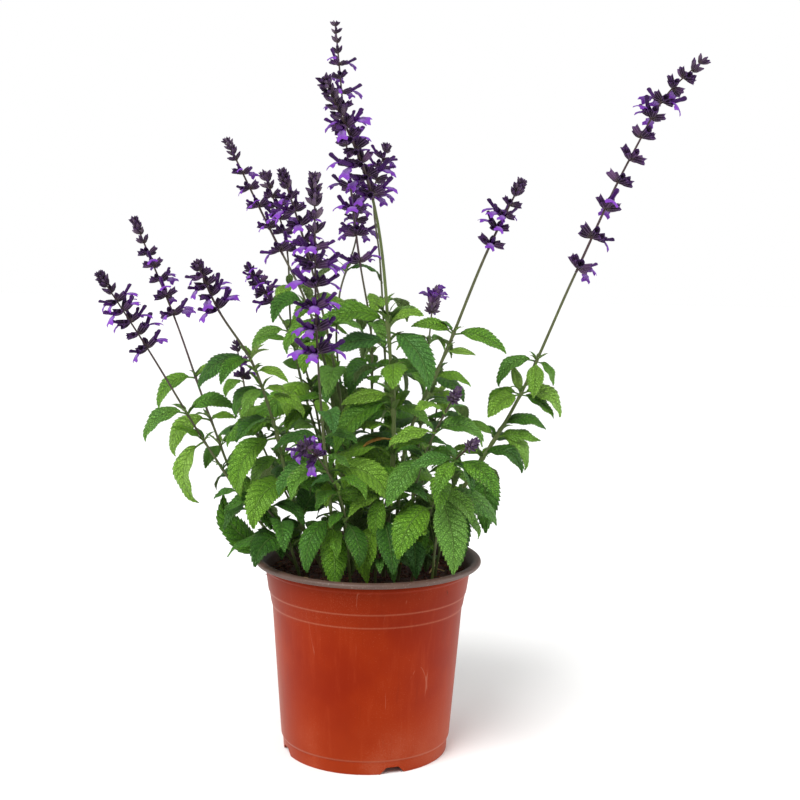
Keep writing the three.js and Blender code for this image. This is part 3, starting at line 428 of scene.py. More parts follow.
PLANS = [
    Plan("far_left", (-58, -5), [(-95, -6, 199), (-135, -10, 259), (-178, -28, 336), (-216, -40, 399)],
         Pairs(200, 95, 22, 1, 50), 0.85, Spike(76, 9, 0.4),
         [(284, 184, 42, 24, -94), (284, 354, 40, 62, -48), (261, 186, 55, -25, -145),
          (261, 215, 28, 44, 5), (238, 40, 44, 45, -60), (218, 178, 20, 25, -60),
          (218, 318, 42, 0, -70), (172, 178, 64, -8, 96)]),
    Plan("left", (-52, 19), [(-110, 28, 213), (-136, 40, 270), (-171, 66, 356), (-210, 90, 441)],
         Pairs(222, 130, 24, 1, 48), 0.9, Spike(98, 9, 0.35),
         [(306, 182, 42, 14, -100), (306, 30, 18, 60, 10), (271, 186, 50, 22, -112),
          (271, 10, 20, 40, -30), (250, 255, 32, 10, -60), (250, 8, 30, 42, 5),
          (203, 250, 34, 10, -85)]),
    Plan("far_right", (44, 6),
         [(75, 10, 214), (118, 20, 284), (170, 35, 400),
          (218, 49, 504), (248, 56, 556), (276, 60, 583)],
         Pairs(214, 100, 24, 1, 50), 1.2, Spike(212, 12, 0.35),
         [(328, 182, 40, 22, -90), (328, 345, 24, -10, -95), (328, 262, 32, -25, -85),
          (300, 176, 34, 30, -100), (300, 205, 38, 2, -45), (300, 2, 42, 34, -92),
          (300, 332, 32, -5, -60), (300, 120, 24, 75, 50), (264, 180, 28, 45, 0),
          (264, 350, 40, 20, -118), (264, 8, 34, 22, -25), (246, 273, 60, -30, -86),
          (246, 130, 34, 40, -30)]),
    Plan("right", (21, -8), [(33, -10, 273), (59, -10, 334), (93, -22, 425), (117, -30, 478)],
         Pairs(290, 170, 34, 3, 58), 1.25, Spike(62, 7, 0.35),
         [(353, 358, 42, 12, -52), (353, 178, 32, 42, -25), (338, 355, 22, 15, -25),
          (316, 4, 30, 30, -55), (320, 190, 42, 35, -60)]),
    Plan("front", (-26, -41), [(-30, -50, 210), (-37, -60, 277), (-42, -75, 349), (-45, -90, 478)],
         Pairs(190, 150, 20, 1, 46), 1, Spike(142, 12, 0.45),
         [(244, 190, 44, 35, -82), (244, 345, 58, 35, -85), (240, 262, 22, -40, -80),
          (220, 350, 42, 40, -50), (220, 8, 44, 25, -40), (205, 268, 50, -50, -86),
          (205, 235, 50, 10, -115), (205, 318, 56, -10, -75)]),
    Plan("tall_front", (13, -19), [(19, -20, 281), (15, -20, 336), (-3, -30, 467), (-39, -75, 549)],
         Pairs(323, 82, 36, 3, 64), 1.35, Spike(108, 12, 0.35),
         [(355, 320, 59, -5, -85), (361, 190, 54, 40, -50), (366, 15, 22, 38, 5),
          (362, 350, 34, 42, -15), (346, 186, 46, 18, -45), (303, 190, 38, 10, -30),
          (298, 215, 60, 0, -80)]),
    Plan("tall_back", (4, 33), [(1, 50, 289), (-1, 60, 349), (-11, 72, 404), (-37, 110, 614)],
         Pairs(352, 100, 38, 2, 60), 1, Spike(216, 15, 0.4),
         [(326, 215, 34, -10, -80)]),
    Plan("inner_left", (-36, -20),
         [(-60, -24, 207), (-78, -30, 280), (-95, -35, 329),
          (-121, -55, 374), (-136, -66, 410)],
         Pairs(250, 100, 27, 3, 58, True), 1, Spike(46, 6, 0.35),
         [(331, 184, 46, 22, -85), (331, 208, 34, 18, -75), (322, 2, 26, 22, -62),
          (307, 186, 34, 22, -115), (307, 240, 30, 5, -70), (307, 0, 20, 30, -50),
          (280, 184, 42, 24, -80), (268, 205, 58, 0, -112), (250, 185, 34, 10, -110)]),
    Plan("low_right", (25, -29), [(32, -38, 204), (42, -52, 255), (60, -69, 300), (68, -80, 317)],
         Pairs(250, 110, 24, 3, 56, True), 0.9, Spike(15, 2, 0),
         [(279, 190, 36, 18, -45), (279, 8, 40, 42, -62), (259, 222, 48, -15, -72),
          (225, 200, 18, 20, -40), (225, 345, 20, 12, -50), (214, 283, 50, -55, -86),
          (214, 325, 34, -15, -86)]),
    Plan("mid_left", (-10, 3), [(-60, 45, 381), (-83, 58, 423), (-128, 75, 510)],
         Pairs(370, 30, 38, 2, 58), 1.1, Spike(112, 8, 0.35)),
    Plan("back_left", (-26, 30), [(-64, 60, 331), (-87, 85, 367), (-112, 105, 401)],
         Pairs(328, 150, 34, 2, 56), 0.9, Spike(48, 6, 0.4),
         [(346, 188, 36, 22, -85), (299, 195, 60, 0, -75), (285, 205, 34, 0, -80)]),
    Plan("back_inner", (-9, 38), [(-71, 80, 349), (-77, 95, 421), (-98, 120, 483)],
         Pairs(382, 60, 38, 2, 56), 0.9, Spike(80, 8, 0.4)),
    Plan("inner", (0, -2), [(-44, 25, 376), (-61, 12, 438), (-76, 4, 483)],
         Pairs(352, 200, 40, 2, 60), 1.1, Spike(84, 8, 0.35),
         [(253, 350, 48, 5, -45), (248, 200, 32, 40, 20)]),
    Plan("back_right", (20, 30), [(6, 95, 408), (0, 118, 470), (11, 130, 511)],
         Pairs(368, 20, 38, 2, 58), 0.9, Spike(52, 6, 0.35)),
    Plan("back", (8, 45), [(-29, 90, 379), (-15, 112, 431), (-17, 135, 465)],
         Pairs(398, 172, 38, 2, 56), 0.9, Spike(44, 5, 0.35)),
    Plan("bud_right", (36, -35), [(54, -54, 228), (65, -68, 256), (74, -90, 271), (81, -100, 280)],
         Pairs(240, 80, 26, 2, 56), 0.85, Spike(13, 2, 0),
         [(259, 184, 34, 22, -42), (259, 240, 36, 0, -62), (259, 318, 44, 8, -62),
          (228, 292, 62, -22, -88), (228, 335, 36, 15, -82)]),
    Plan("bud_back", (34, 25), [(51, 80, 348), (53, 90, 366), (57, 100, 383)],
         Pairs(336, 40, 36, 3, 56), 0.85, Spike(24, 3, 0)),
    Plan("bud_front", (-14, -48), [(-22, -62, 224), (-32, -76, 248), (-42, -94, 266), (-53, -112, 277)],
         Pairs(228, 40, 24, 2, 42), 0.8, Spike(32, 3, 0.5)),
    Plan("back_far_left", (-44, 40), [(-108, 60, 286), (-112, 75, 300), (-121, 95, 334)],
         Pairs(278, 110, 30, 3, 56), 0.8, Spike(40, 4, 0.3)),
    Plan("shoot_left", (-56, -28), [(-68, -33, 190), (-84, -38, 214)],
         Pairs(211, 150, 20, 3, 54, True), 0.9),
    Plan("shoot_right", (56, -14), [(62, -14, 188), (70, -18, 218)],
         Pairs(214, 100, 22, 2, 54), 0.9, None,
         [(212, 285, 42, -15, -86), (205, 350, 34, 15, -100)]),
    Plan("shoot_front", (6, -42), [(7, -46, 184), (15, -57, 232)],
         Pairs(228, 0, 20, 2, 54, True), 0.85, None,
         [(209, 285, 46, -20, -86), (228, 250, 34, 10, -60)]),
    Plan("shoot_front_right", (52, -44), [(54, -47, 186), (58, -52, 214)],
         Pairs(210, 80, 18, 2, 50), 0.85),
    Plan("shoot_back", (28, 50), [(52, 88, 230), (62, 108, 290)],
         Pairs(286, 100, 30, 2, 58), 0.9),
    Plan("shoot_back_left", (-18, 60), [(-30, 88, 215), (-44, 104, 262)],
         Pairs(258, 30, 30, 3, 56), 0.9),
]
print("stems:", len(PLANS), "of which in flower:", sum(plan.spike is not None for plan in PLANS))

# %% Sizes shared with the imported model, in millimetres
TOUCH = 0.3  # gap left between two solids
POT_HEIGHT = 165
WALL_LINE_R = 83.2  # the pot's wall at its upper moulded line
SOIL_TOP = 150
HOLE_DEPTH = 14
STEM_FOOT_R, STEM_NECK_R = 2, 1.15
BARE = 4  # straight foot of a stem above the mix
STEM_STEP = 40  # between the stations at which a stem's axis bends
LOWEST_JOINT = 9  # least height of a joint above the mix
GUARD_STEP = 5  # between the points by which leaves keep clear of a stem
SPIKE_GUARD_R = 15  # room that a spike of flowers takes up

# %% Sizes of a leaf, and the room it asks for
HALF_WIDTH = 0.23  # of the blade's length
PETIOLE = 0.15  # the stalk's length, as a share of the blade's
WIDEST = 0.74  # less than 1 brings the widest place nearer to the stalk
GROWN = (0.72, 0.92, 1)  # sizes at the top joint, the next and all lower ones
YOUNG, YOUNG_SHARE = 0.44, 0.12  # size of a young leaf, and how often one grows
CLEAR, CLEAR_STEM, CLEAR_OWN = 4.3, 3.2, 2  # from leaves, from other stems, from its own stem
OWN_FREE = 0.3  # share of a leaf, from its root, that may touch its own stem
SAME_FREE, SAME_CLEAR = 0.25, 0.7  # the like, and less room, for leaves of one stem
FAR_APART = 0.62  # leaves whose middles are this share of their lengths apart can't touch
WALL_ROOM, RIM_ROOM = 4.5, 2.5  # from the pot's wall, and above its rim or the mix

TURNS = (0, 14, -14, 28, -28, 42, -42, 58, -58)  # degrees, in the order in which they are tried
POSES = ((0, 0), (6, 24), (-40, -12), (-85, -18))  # degrees added to rise and nod


def random_stream(seed):
    """The same numbers from 0 to 1 for a seed each time; the first few are thrown away."""
    state = seed * 7919 + 104729
    for _ in range(5):
        state = state * 16807 % 2147483647
    while True:
        state = state * 16807 % 2147483647
        yield state / 2147483647


def draws(stream, count):
    return [next(stream) for _ in range(count)]


def within(low, high, share):
    return low + (high - low) * share


def unit(v):
    return v / np.linalg.norm(v)


print("the first stem's first draws:", [round(x, 3) for x in draws(random_stream(1), 3)])


# %% A path through points, with a look-up by distance
class Path:
    """The straight points first and then a smooth curve through the knots."""

    def __init__(self, straight, knots=(), steps=10):
        points = [np.array(p, float) for p in straight]
        knots = [np.array(p, float) for p in knots]
        legs = [b - a for a, b in zip(knots, knots[1:])]
        spans = [np.linalg.norm(leg) for leg in legs]
        slopes = [leg / span for leg, span in zip(legs, spans)]
        for i, span in enumerate(spans):
            start, end = self.tangent(slopes, spans, i), self.tangent(slopes, spans, i + 1)
            for k in range(0 if i == 0 else 1, steps + 1):
                points.append(hermite(knots[i], start, knots[i + 1], end, span, k / steps))
        self.points = np.array(points)
        lengths = np.linalg.norm(np.diff(self.points, axis=0), axis=1)
        self.marks = np.concatenate([[0], np.cumsum(lengths)])
        self.length = self.marks[-1]

    @staticmethod
    def tangent(slopes, spans, i):
        if i in (0, len(slopes)):
            return slopes[max(i - 1, 0)]
        share = spans[i - 1] / (spans[i - 1] + spans[i])
        return slopes[i - 1] + (slopes[i] - slopes[i - 1]) * share

    def point(self, distance):
        d = min(max(distance, 0), self.length)
        i = min(max(int(np.searchsorted(self.marks, d)), 1), len(self.marks) - 1)
        share = (d - self.marks[i - 1]) / (self.marks[i] - self.marks[i - 1])
        return self.points[i - 1] + (self.points[i] - self.points[i - 1]) * share

    def axes(self, distance):
        """The tangent, and two directions square to it that don't twist along the path."""
        along = unit(self.point(distance + 1.5) - self.point(distance - 1.5))
        side = unit(np.array([1.0, 0, 0]) - along * along[0])
        return along, side, np.cross(along, side)

    def reaches(self, z):
        i = 1
        while i + 1 < len(self.points) and self.points[i][2] < z:
            i += 1
        share = (z - self.points[i - 1][2]) / (self.points[i][2] - self.points[i - 1][2])
        return self.marks[i - 1] + share * (self.marks[i] - self.marks[i - 1])


def hermite(start, start_slope, end, end_slope, span, t):
    t2, t3 = t * t, t * t * t
    blend = start * (2 * t3 - 3 * t2 + 1) + end * (3 * t2 - 2 * t3)
    return blend + start_slope * (span * (t3 - 2 * t2 + t)) + end_slope * (span * (t3 - t2))


# %% A stem, and the points by which leaves keep clear of it
class Stem:
    def __init__(self, plan, index):
        self.plan, self.index = plan, index
        x, y = plan.foot
        knots = [(x, y, SOIL_TOP + BARE), *plan.via]
        self.path = Path([(x, y, SOIL_TOP - HOLE_DEPTH + TOUCH)], knots)
        self.neck = self.path.length - (plan.spike.length if plan.spike else 0)
        self.random = random_stream(index + 1)
        self.leaves = []
        self.axis = Path([self.path.point(d) for d in self.stations()])
        count = int(self.path.length // GUARD_STEP) + 1
        marks = [GUARD_STEP * i for i in range(count)]
        self.guard = np.array([self.path.point(d) for d in marks])
        self.guard_r = np.array([SPIKE_GUARD_R if d > self.neck else self.radius(d) for d in marks])

    def stations(self):
        straight = HOLE_DEPTH + BARE
        end = self.neck - (TOUCH / 2 if self.plan.spike else 0)
        count = max(2, int((end - straight) / STEM_STEP + 0.5))
        return [0] + [straight + (end - straight) * i / count for i in range(count + 1)]

    def radius(self, distance):
        share = min(distance / self.neck, 1)
        return self.plan.girth * within(STEM_FOOT_R, STEM_NECK_R, share)


# %% One leaf as a surface
def blade_width(s):
    return np.maximum(np.sin(pi * np.power(np.clip(s, 0, 1), WIDEST)), 0) ** 0.9


class Leaf:
    """The rib is an arc that rises from the stem and then nods."""

    def __init__(self, stem, root, length, rise, nod, fold, roll, yaw, young):
        self.stem, self.root, self.length, self.young = stem, root, length, young
        self.rise, self.nod, self.fold, self.roll, self.yaw = rise, nod, fold, roll, yaw
        self.sway = 0.0  # how far its tip swings aside, as a share of its length
        self.wither = 0.0

    def posed(self, turn, rise, nod):
        return Leaf(
            self.stem, self.root, self.length, self.rise + radians(rise), self.nod + radians(nod),
            self.fold, self.roll, self.yaw + radians(turn), self.young,
        )

    def points(self, s, width, lift=0.0):
        """Points at shares s of the length, a width to the side of the rib and a lift above."""
        s, width, lift = np.broadcast_arrays(*np.atleast_1d(s, width, lift))
        bend = (self.nod - self.rise) / (self.length * (1 + PETIOLE))
        tilt = self.rise + bend * (s + PETIOLE) * self.length
        out = (np.sin(tilt) - sin(self.rise)) / bend
        upward = (cos(self.rise) - np.cos(tilt)) / bend
        ahead = np.array([cos(self.yaw), sin(self.yaw), 0.0])
        flank = np.array([-ahead[1], ahead[0], 0.0])
        face = np.outer(-np.sin(tilt), ahead) + np.outer(np.cos(tilt), UP)
        side = flank * cos(self.roll) + face * sin(self.roll)
        normal = face * cos(self.roll) - flank * sin(self.roll)
        rib = self.root + np.outer(out, ahead) + np.outer(upward, UP)
        raised = np.abs(width) * sin(self.fold) + lift
        aside = width * cos(self.fold) + self.sway * self.length * np.clip(s, 0, 1) ** 2
        return rib + side * aside[:, None] + normal * raised[:, None]

    def sampled(self):
        """The points by which its distance to other things is judged, and where they lie."""
        half = self.length * HALF_WIDTH
        rows = [(i / 10, half * float(blade_width(i / 10))) for i in range(11)]
        spots = [(s, w * k / 2) for s, w in rows for k in range(-2, 3) if k == 0 or w > 1]
        s, width = np.array(spots).T
        return s, self.points(s, width)


# %% Leaves find their places
def near(a, b, reach):
    """Whether each point of a is within reach of each point of b."""
    gaps = a[:, None, :] - b[None, :, :]
    return np.einsum("ijk,ijk->ij", gaps, gaps) < np.square(reach)


def clear_of_pot(p):
    r = np.hypot(p[:, 0], p[:, 1])
    inside = (r < WALL_LINE_R - WALL_ROOM) & (p[:, 2] > SOIL_TOP + RIM_ROOM)
    return bool(np.all((p[:, 2] > POT_HEIGHT + RIM_ROOM) | inside))


class Clump:
    """The stems of the plant and the leaves that have found their places on them."""

    def __init__(self, stems):
        self.stems = stems
        self.guard = np.concatenate([stem.guard for stem in stems])
        self.guard_r = np.concatenate([stem.guard_r for stem in stems])
        self.owner = np.concatenate([[stem.index] * len(stem.guard) for stem in stems])
        self.placed = []

    def clear_of_stems(self, leaf, s, points, share):
        own = self.owner == leaf.stem.index
        hit = near(points, self.guard, self.guard_r + share * np.where(own, CLEAR_OWN, CLEAR_STEM))
        hit[np.ix_(s <= OWN_FREE, own)] = False
        return not hit.any()

    def clear_of_leaves(self, leaf, s, points, share):
        middle = leaf.points(0.5, 0.0)[0]
        for other, other_s, other_points, other_middle in self.placed:
            reach = (leaf.length + other.length) * FAR_APART
            if np.sum((middle - other_middle) ** 2) >= reach**2:
                continue
            same = other.stem is leaf.stem
            free = SAME_FREE if same else 0
            clear = share * (CLEAR * SAME_CLEAR if same else CLEAR)
            if near(points[s >= free], other_points[other_s >= free], clear).any():
                return False
        return True

    def is_clear(self, leaf, s, points, share):
        if not clear_of_pot(points) or not self.clear_of_stems(leaf, s, points, share):
            return False
        return self.clear_of_leaves(leaf, s, points, share)

    def settle(self, leaf, share=1.0):
        """Turns, lifts or hangs a leaf until it is clear, or leaves it out."""
        for rise, nod in POSES:
            for turn in TURNS:
                posed = leaf.posed(turn, rise, nod)
                s, points = posed.sampled()
                if self.is_clear(posed, s, points, share):
                    self.placed.append((posed, s, points, posed.points(0.5, 0.0)[0]))
                    posed.stem.leaves.append(posed)
                    return

    def grow(self):
        """The chosen leaves first, then every stem's top joint, then the next joint down."""
        for stem in self.stems:
            for leaf in chosen_leaves(stem):
                self.settle(leaf)
        for k in range(max(stem.plan.pairs.joints for stem in self.stems)):
            for stem in self.stems:
                for leaf in joint_leaves(stem, k):
                    self.settle(leaf)


# %% The leaves of a stem
def leaf_at(stem, root, length, degrees, young=False):
    """A leaf whose rise, nod, fold, roll and yaw are given in degrees."""
    return Leaf(stem, root, length, *map(radians, degrees), young)


YOUNG_UNDER = 30  # a chosen leaf shorter than this is a young one
CHOSEN_FOLD = 12
TIP = 20  # degrees by which a leaf that points sideways tips over to the front
CHOSEN_TIP = 38
JOINT_SIDES = (0, 180, 90, 270)  # the grown pair, then the places of a younger one
JOINT_RISE, JOINT_NOD = (34, 56), (-58, -102)
YOUNG_RISE, YOUNG_NOD = 62, (0, -30)
JOINT_SIZE, JOINT_TURN, JOINT_FOLD, JOINT_ROLL = (0.9, 1.1), (-10, 10), (-8, 26), (-22, 22)


def chosen_leaves(stem):
    """The leaves that the plan gives one by one."""
    for height, yaw, length, rise, nod in stem.plan.chosen:
        root = stem.axis.point(stem.axis.reaches(height))
        roll = CHOSEN_TIP * cos(radians(yaw))
        yield leaf_at(stem, root, length, (rise, nod, CHOSEN_FOLD, roll, yaw), length < YOUNG_UNDER)


def joint_leaves(stem, k):
    """The leaves at one joint, counted from the top: a pair, and beside it a younger pair."""
    pairs = stem.plan.pairs
    distance = stem.axis.reaches(pairs.top) - k * pairs.gap
    if k >= pairs.joints or distance < HOLE_DEPTH + LOWEST_JOINT:
        return []
    leaves = []
    for side in JOINT_SIDES:
        full = pairs.full and k == pairs.joints - 1
        young = side % 180 != 0 and not full
        draw = draws(stem.random, 7)
        if young and draw[6] > YOUNG_SHARE:
            continue
        grown = YOUNG if young else GROWN[min(k, 2)]
        length = pairs.leaf * grown * within(*JOINT_SIZE, draw[0])
        rise = YOUNG_RISE if young else within(*JOINT_RISE, draw[1])
        nod = within(*(YOUNG_NOD if young else JOINT_NOD), draw[2])
        yaw = pairs.turn + side + 90 * k + within(*JOINT_TURN, draw[5])
        fold = within(*JOINT_FOLD, draw[3])
        roll = within(*JOINT_ROLL, draw[4]) + TIP * cos(radians(yaw))
        root = stem.axis.point(distance)
        leaves.append(leaf_at(stem, root, length, (rise, nod, fold, roll, yaw), young))
    return leaves


stems = [Stem(plan, i) for i, plan in enumerate(PLANS)]
clump = Clump(stems)
clump.grow()
main_leaves = {stem.plan.name: list(stem.leaves) for stem in stems}
print("leaves:", sum(len(stem.leaves) for stem in stems), "of them young:",
      sum(leaf.young for stem in stems for leaf in stem.leaves))

# %% [markdown]
# ### Smaller leaves between them
#
# The leaves so far are those that give the clump its outline. A real clump also has many smaller
# ones on the joints between, most of them half hidden. They are found by the same search, with
# less room asked for, and only after the rest, so that they move none of the others.

# %% Smaller leaves
FILL_GAP = 15.0
FILL_FROM = 34.0  # along the stem, from its foot in the mix
FILL_BELOW_TIP = 20
FILL_LENGTH = (22.0, 44.0)
FILL_RISE, FILL_NOD = (15, 65), (-95, -25)
FILL_FOLD, FILL_ROLL = (-6, 26), (-24, 24)
FILL_TURN, FILL_STEM_TURN, FILL_STRAY = 97, 53, (-20, 20)  # from joint to joint, stem to stem
FILL_ROOM = 0.5  # share of the usual clearance
FILL_SHARE = 0.56  # how often a place bears a leaf
FILL_SEED = 700
FILL_TOP = {"far_left": 30, "left": 30, "far_right": 125, "right": 110}  # millimetres above the mix
FILL_TOP_ELSEWHERE = 160


def filling_leaves(stem):
    stream = random_stream(FILL_SEED + stem.index)
    highest = SOIL_TOP + FILL_TOP.get(stem.plan.name, FILL_TOP_ELSEWHERE)
    top = stem.axis.reaches(min(highest, stem.path.points[-1][2] - FILL_BELOW_TIP))
    for k in range(int((top - FILL_FROM) / FILL_GAP) + 1):
        root = stem.axis.point(FILL_FROM + k * FILL_GAP)
        for side in (0, 180):
            draw = draws(stream, 7)
            if draw[6] > FILL_SHARE:
                continue
            rise, nod = within(*FILL_RISE, draw[1]), within(*FILL_NOD, draw[2])
            turn = FILL_TURN * k + FILL_STEM_TURN * stem.index
            yaw = turn + side + within(*FILL_STRAY, draw[3])
            fold = within(*FILL_FOLD, draw[4])
            roll = within(*FILL_ROLL, draw[5]) + TIP * cos(radians(yaw))
            length = within(*FILL_LENGTH, draw[0])
            yield leaf_at(stem, root, length, (rise, nod, fold, roll, yaw))


def fill_clump():
    for stem in stems:
        for leaf in filling_leaves(stem):
            clump.settle(leaf, FILL_ROOM)


fill_clump()
print("leaves with the smaller ones:", sum(len(stem.leaves) for stem in stems))

# %% [markdown]
# ## The leaf's fine form
#
# The blade could be a flat card with a picture on it, but its toothed edge and its quilted
# surface show in outline, so both are real. A grid is laid over the blade once: three rows to a
# tooth, with columns on both sides of the rib. Every leaf bends this one grid along its own
# arc. The two faces share their edge, so that each leaf is a closed shell, and the stalk runs on
# under the blade as its rib.


# %% The grid that every blade shares
FULL_LENGTH = 55  # a leaf this long has the next sizes in full, and a shorter one a share of them
BLADE_THICK = 0.45
QUILT = 0.42  # half the height of the cushions between veins
GROOVE, GROOVE_REACH = 0.5, 0.14  # depth over the rib, and its share of the half blade
RIPPLES = 2.3  # waves along the edge
TOOTH_NOTCH = 0.94  # the edge between two teeth, beside the plain outline
TOOTH_DEPTH = 0.12
TOOTH_LEAN = 1.3  # rows by which a tooth's point leans forward
INNER_WIDER = 0.045  # keeps the columns inside the edge up with the teeth
RIB_R = 0.9


class BladeGrid:
    """Rows along a blade and columns across it, on two faces that share their edges."""

    def __init__(self, teeth, rows_per_tooth, columns):
        self.rows = teeth * rows_per_tooth
        self.cross = np.array([-1.0, *(-c for c in reversed(columns)), 0.0, *columns, 1.0])
        across = len(self.cross)
        row, column = np.divmod(np.arange(self.rows * across), across)
        keep = (column > 0) & (column < across - 1)
        self.row = np.concatenate([row, row[keep], [self.rows]])
        self.c = np.concatenate([self.cross[column], self.cross[column[keep]], [0.0]])
        self.under = np.concatenate([np.zeros(len(row)), np.ones(keep.sum()), [0.0]])
        top = np.arange(self.rows * across).reshape(self.rows, across)
        bottom = top.copy()
        bottom[:, 1:-1] = len(row) + np.arange(keep.sum()).reshape(self.rows, across - 2)
        tip = len(self.row) - 1
        self.faces, self.face_under = [], []
        for face, is_under in ((top, 0.0), (bottom, 1.0)):
            for i in range(self.rows):
                for j in range(across - 1):
                    ahead = [face[i + 1, j + 1], face[i + 1, j]] if i + 1 < self.rows else [tip]
                    ring = [face[i, j], face[i, j + 1], *ahead]
                    self.faces.append(ring[::-1] if is_under else ring)
                    self.face_under.append(is_under)
        self.faces.append([*top[0][::-1], *bottom[0, 1:-1]])
        self.face_under.append(1.0)
        # Each tooth rises over its rows and falls back in one, and its point leans forward.
        step = (self.row % rows_per_tooth) / max(rows_per_tooth - 1, 1)
        self.tooth = np.where(np.abs(self.c) == 1, step, 0.0)
        self.s = self.row / self.rows

    def bent(self, leaf, breadth, curl, wave):
        """The grid's points on one leaf. Curl bends the halves down, and wave ripples them."""
        half = leaf.length * HALF_WIDTH * breadth
        size = leaf.length / FULL_LENGTH
        c, side = self.c, np.abs(self.c)
        lean = self.tooth * TOOTH_LEAN / self.rows
        s = np.minimum(self.s + lean, 1)
        outline = np.maximum(half * blade_width(self.s), RIB_R * (1 - self.s) ** 2)
        width = c * outline * (TOOTH_NOTCH + TOOTH_DEPTH * self.tooth + (side < 1) * INNER_WIDER)
        veins = np.cos(2 * pi * (LEAF_VEINS * (s - VEIN_SLANT * side) - 0.5))
        cushion = QUILT * size * (1 - veins) * np.sin(pi * side) ** 0.8 * np.sin(pi * s) ** 0.5
        groove = GROOVE * size * np.exp(-((side / GROOVE_REACH) ** 2)) * np.sin(pi * s) ** 0.5
        ripple = wave * size * np.sin(2 * pi * (RIPPLES * s + leaf.yaw)) * side**2
        lift = cushion - groove + ripple - curl * outline * side**2
        lift = lift - BLADE_THICK * size * self.under
        return leaf.points(s, width, lift)


GROWN_GRID = BladeGrid(16, 3, (0.14, 0.42, 0.7, 0.88))
MIDDLE_GRID = BladeGrid(12, 3, (0.25, 0.7))
SMALL_GRID = BladeGrid(7, 2, (0.45,))
print("faces on a blade:", [len(grid.faces) for grid in (GROWN_GRID, MIDDLE_GRID, SMALL_GRID)])


# %% [markdown]
# ### Small leaves in the joints
#
# Where a pair of leaves meets the stem, a pair of tiny new ones always sits in the angle,
# standing nearly upright. They are what makes a joint look like growth and not like a fork.

# %% Small leaves in the joints
AXIL_LENGTH = (9.0, 19.0)
AXIL_SIDES = (40, 140, 220, 320)  # degrees from the leaf in whose angle they stand
AXIL_SHARE = 0.8  # how often one is there
AXIL_RISE, AXIL_NOD, AXIL_FOLD, AXIL_STRAY = (48, 82), (-30, 40), (10, 40), (-18, 18)
AXIL_SEED = 500


def axil_leaves(stem):
    """Up to four tiny leaves at each joint that bears any."""
    stream = random_stream(AXIL_SEED + stem.index)
    joints = {}
    for leaf in main_leaves[stem.plan.name]:
        joints.setdefault(tuple(np.round(leaf.root, 3)), leaf)
    small = []
    for leaf in joints.values():
        for side in AXIL_SIDES:
            draw = draws(stream, 6)
            if draw[5] > AXIL_SHARE:
                continue
            length = within(*AXIL_LENGTH, draw[0] ** 1.5)
            limits = (AXIL_RISE, AXIL_NOD, AXIL_FOLD)
            angles = [radians(within(*pair, share)) for pair, share in zip(limits, draw[1:4])]
            yaw = leaf.yaw + radians(side + within(*AXIL_STRAY, draw[4]))
            small.append(Leaf(stem, leaf.root, length, *angles, 0.0, yaw, True))
    return small


print("small leaves on the first stem:", len(axil_leaves(stems[0])))

# %% [markdown]
# ### Withered leaves
#
# The lowest leaves of a potted salvia die off. One turns yellow in the middle of the clump, and
# a few hang brown and shrunken at the foot of the stems.

# %% Withered leaves
WITHERED = [  # stem, height in mm, yaw in degrees, length in mm, rise and nod in degrees
    ("tall_front", 267, 203, 26, 9, -32),
    ("inner_left", 186, 300, 13, -30, -120),
    ("front", 176, 20, 15, -35, -100),
    ("low_right", 180, 250, 14, -20, -110),
    ("right", 178, 290, 17, -40, -95),
    ("inner", 184, 250, 12, -20, -120),
]
WITHERED_FOLD = 30


def withered_leaves(stem):
    dry = []
    for name, height, yaw, length, rise, nod in WITHERED:
        if name == stem.plan.name:
            root = stem.axis.point(stem.axis.reaches(height))
            dry.append(leaf_at(stem, root, length, (rise, nod, WITHERED_FOLD, 0, yaw)))
            dry[-1].wither = 1.0
    return dry


print("withered leaves:", sum(len(withered_leaves(stem)) for stem in stems))

# %% [markdown]
# ## From points to meshes
#
# Hundreds of leaves go faster through arrays than through Blender's own editing calls, so a
# small collector gathers points, faces, UVs and attributes, and writes the mesh once.


# %% A collector of points and faces
class Shape:
    """Gathers closed shells and runs of points, and writes them as one mesh."""

    def __init__(self, numbers=(), vectors=(), face_numbers=()):
        self.points, self.faces, self.edges, self.uv = [], [], [], []
        self.table = {name: ("POINT", "FLOAT", []) for name in numbers}
        self.table.update({name: ("POINT", "FLOAT_VECTOR", []) for name in vectors})
        self.table.update({name: ("FACE", "FLOAT", []) for name in face_numbers})
        self.count = 0

    def add(self, points, faces=(), uv=(0.0, 0.0), joined=False, **values):
        """One shell, or with joined a run of points. A value is one for all or one for each."""
        points = np.asarray(points, float).reshape(-1, 3)
        self.points.append(points)
        self.faces += [[int(i) + self.count for i in face] for face in faces]
        self.uv.append(np.broadcast_to(uv, (len(points), 2)))
        for name, (domain, kind, rows) in self.table.items():
            size = len(points) if domain == "POINT" else len(faces)
            shape = (size, 3) if kind == "FLOAT_VECTOR" else (size,)
            rows.append(np.broadcast_to(values.get(name, 0.0), shape))
        first = self.count
        self.count += len(points)
        if joined:
            self.edges += [(i, i + 1) for i in range(first, self.count - 1)]

    def mesh(self, name):
        """The mesh, in metres, with its UV map and its attributes."""
        mesh = bpy.data.meshes.new(name)
        mesh.from_pydata((np.concatenate(self.points) * MM).tolist(), self.edges, self.faces)
        if self.faces:
            loops = np.zeros(len(mesh.loops), np.int32)
            mesh.loops.foreach_get("vertex_index", loops)
            layer = mesh.uv_layers.new(name="leaf")
            layer.uv.foreach_set("vector", np.concatenate(self.uv)[loops].astype(np.float32).ravel())
        for key, (domain, kind, rows) in self.table.items():
            layer = mesh.attributes.new(key, kind, domain)
            field = "vector" if kind == "FLOAT_VECTOR" else "value"
            layer.data.foreach_set(field, np.concatenate(rows).astype(np.float32).ravel())
        return mesh


def round_angles(count):
    return np.arange(count) * 2 * pi / count


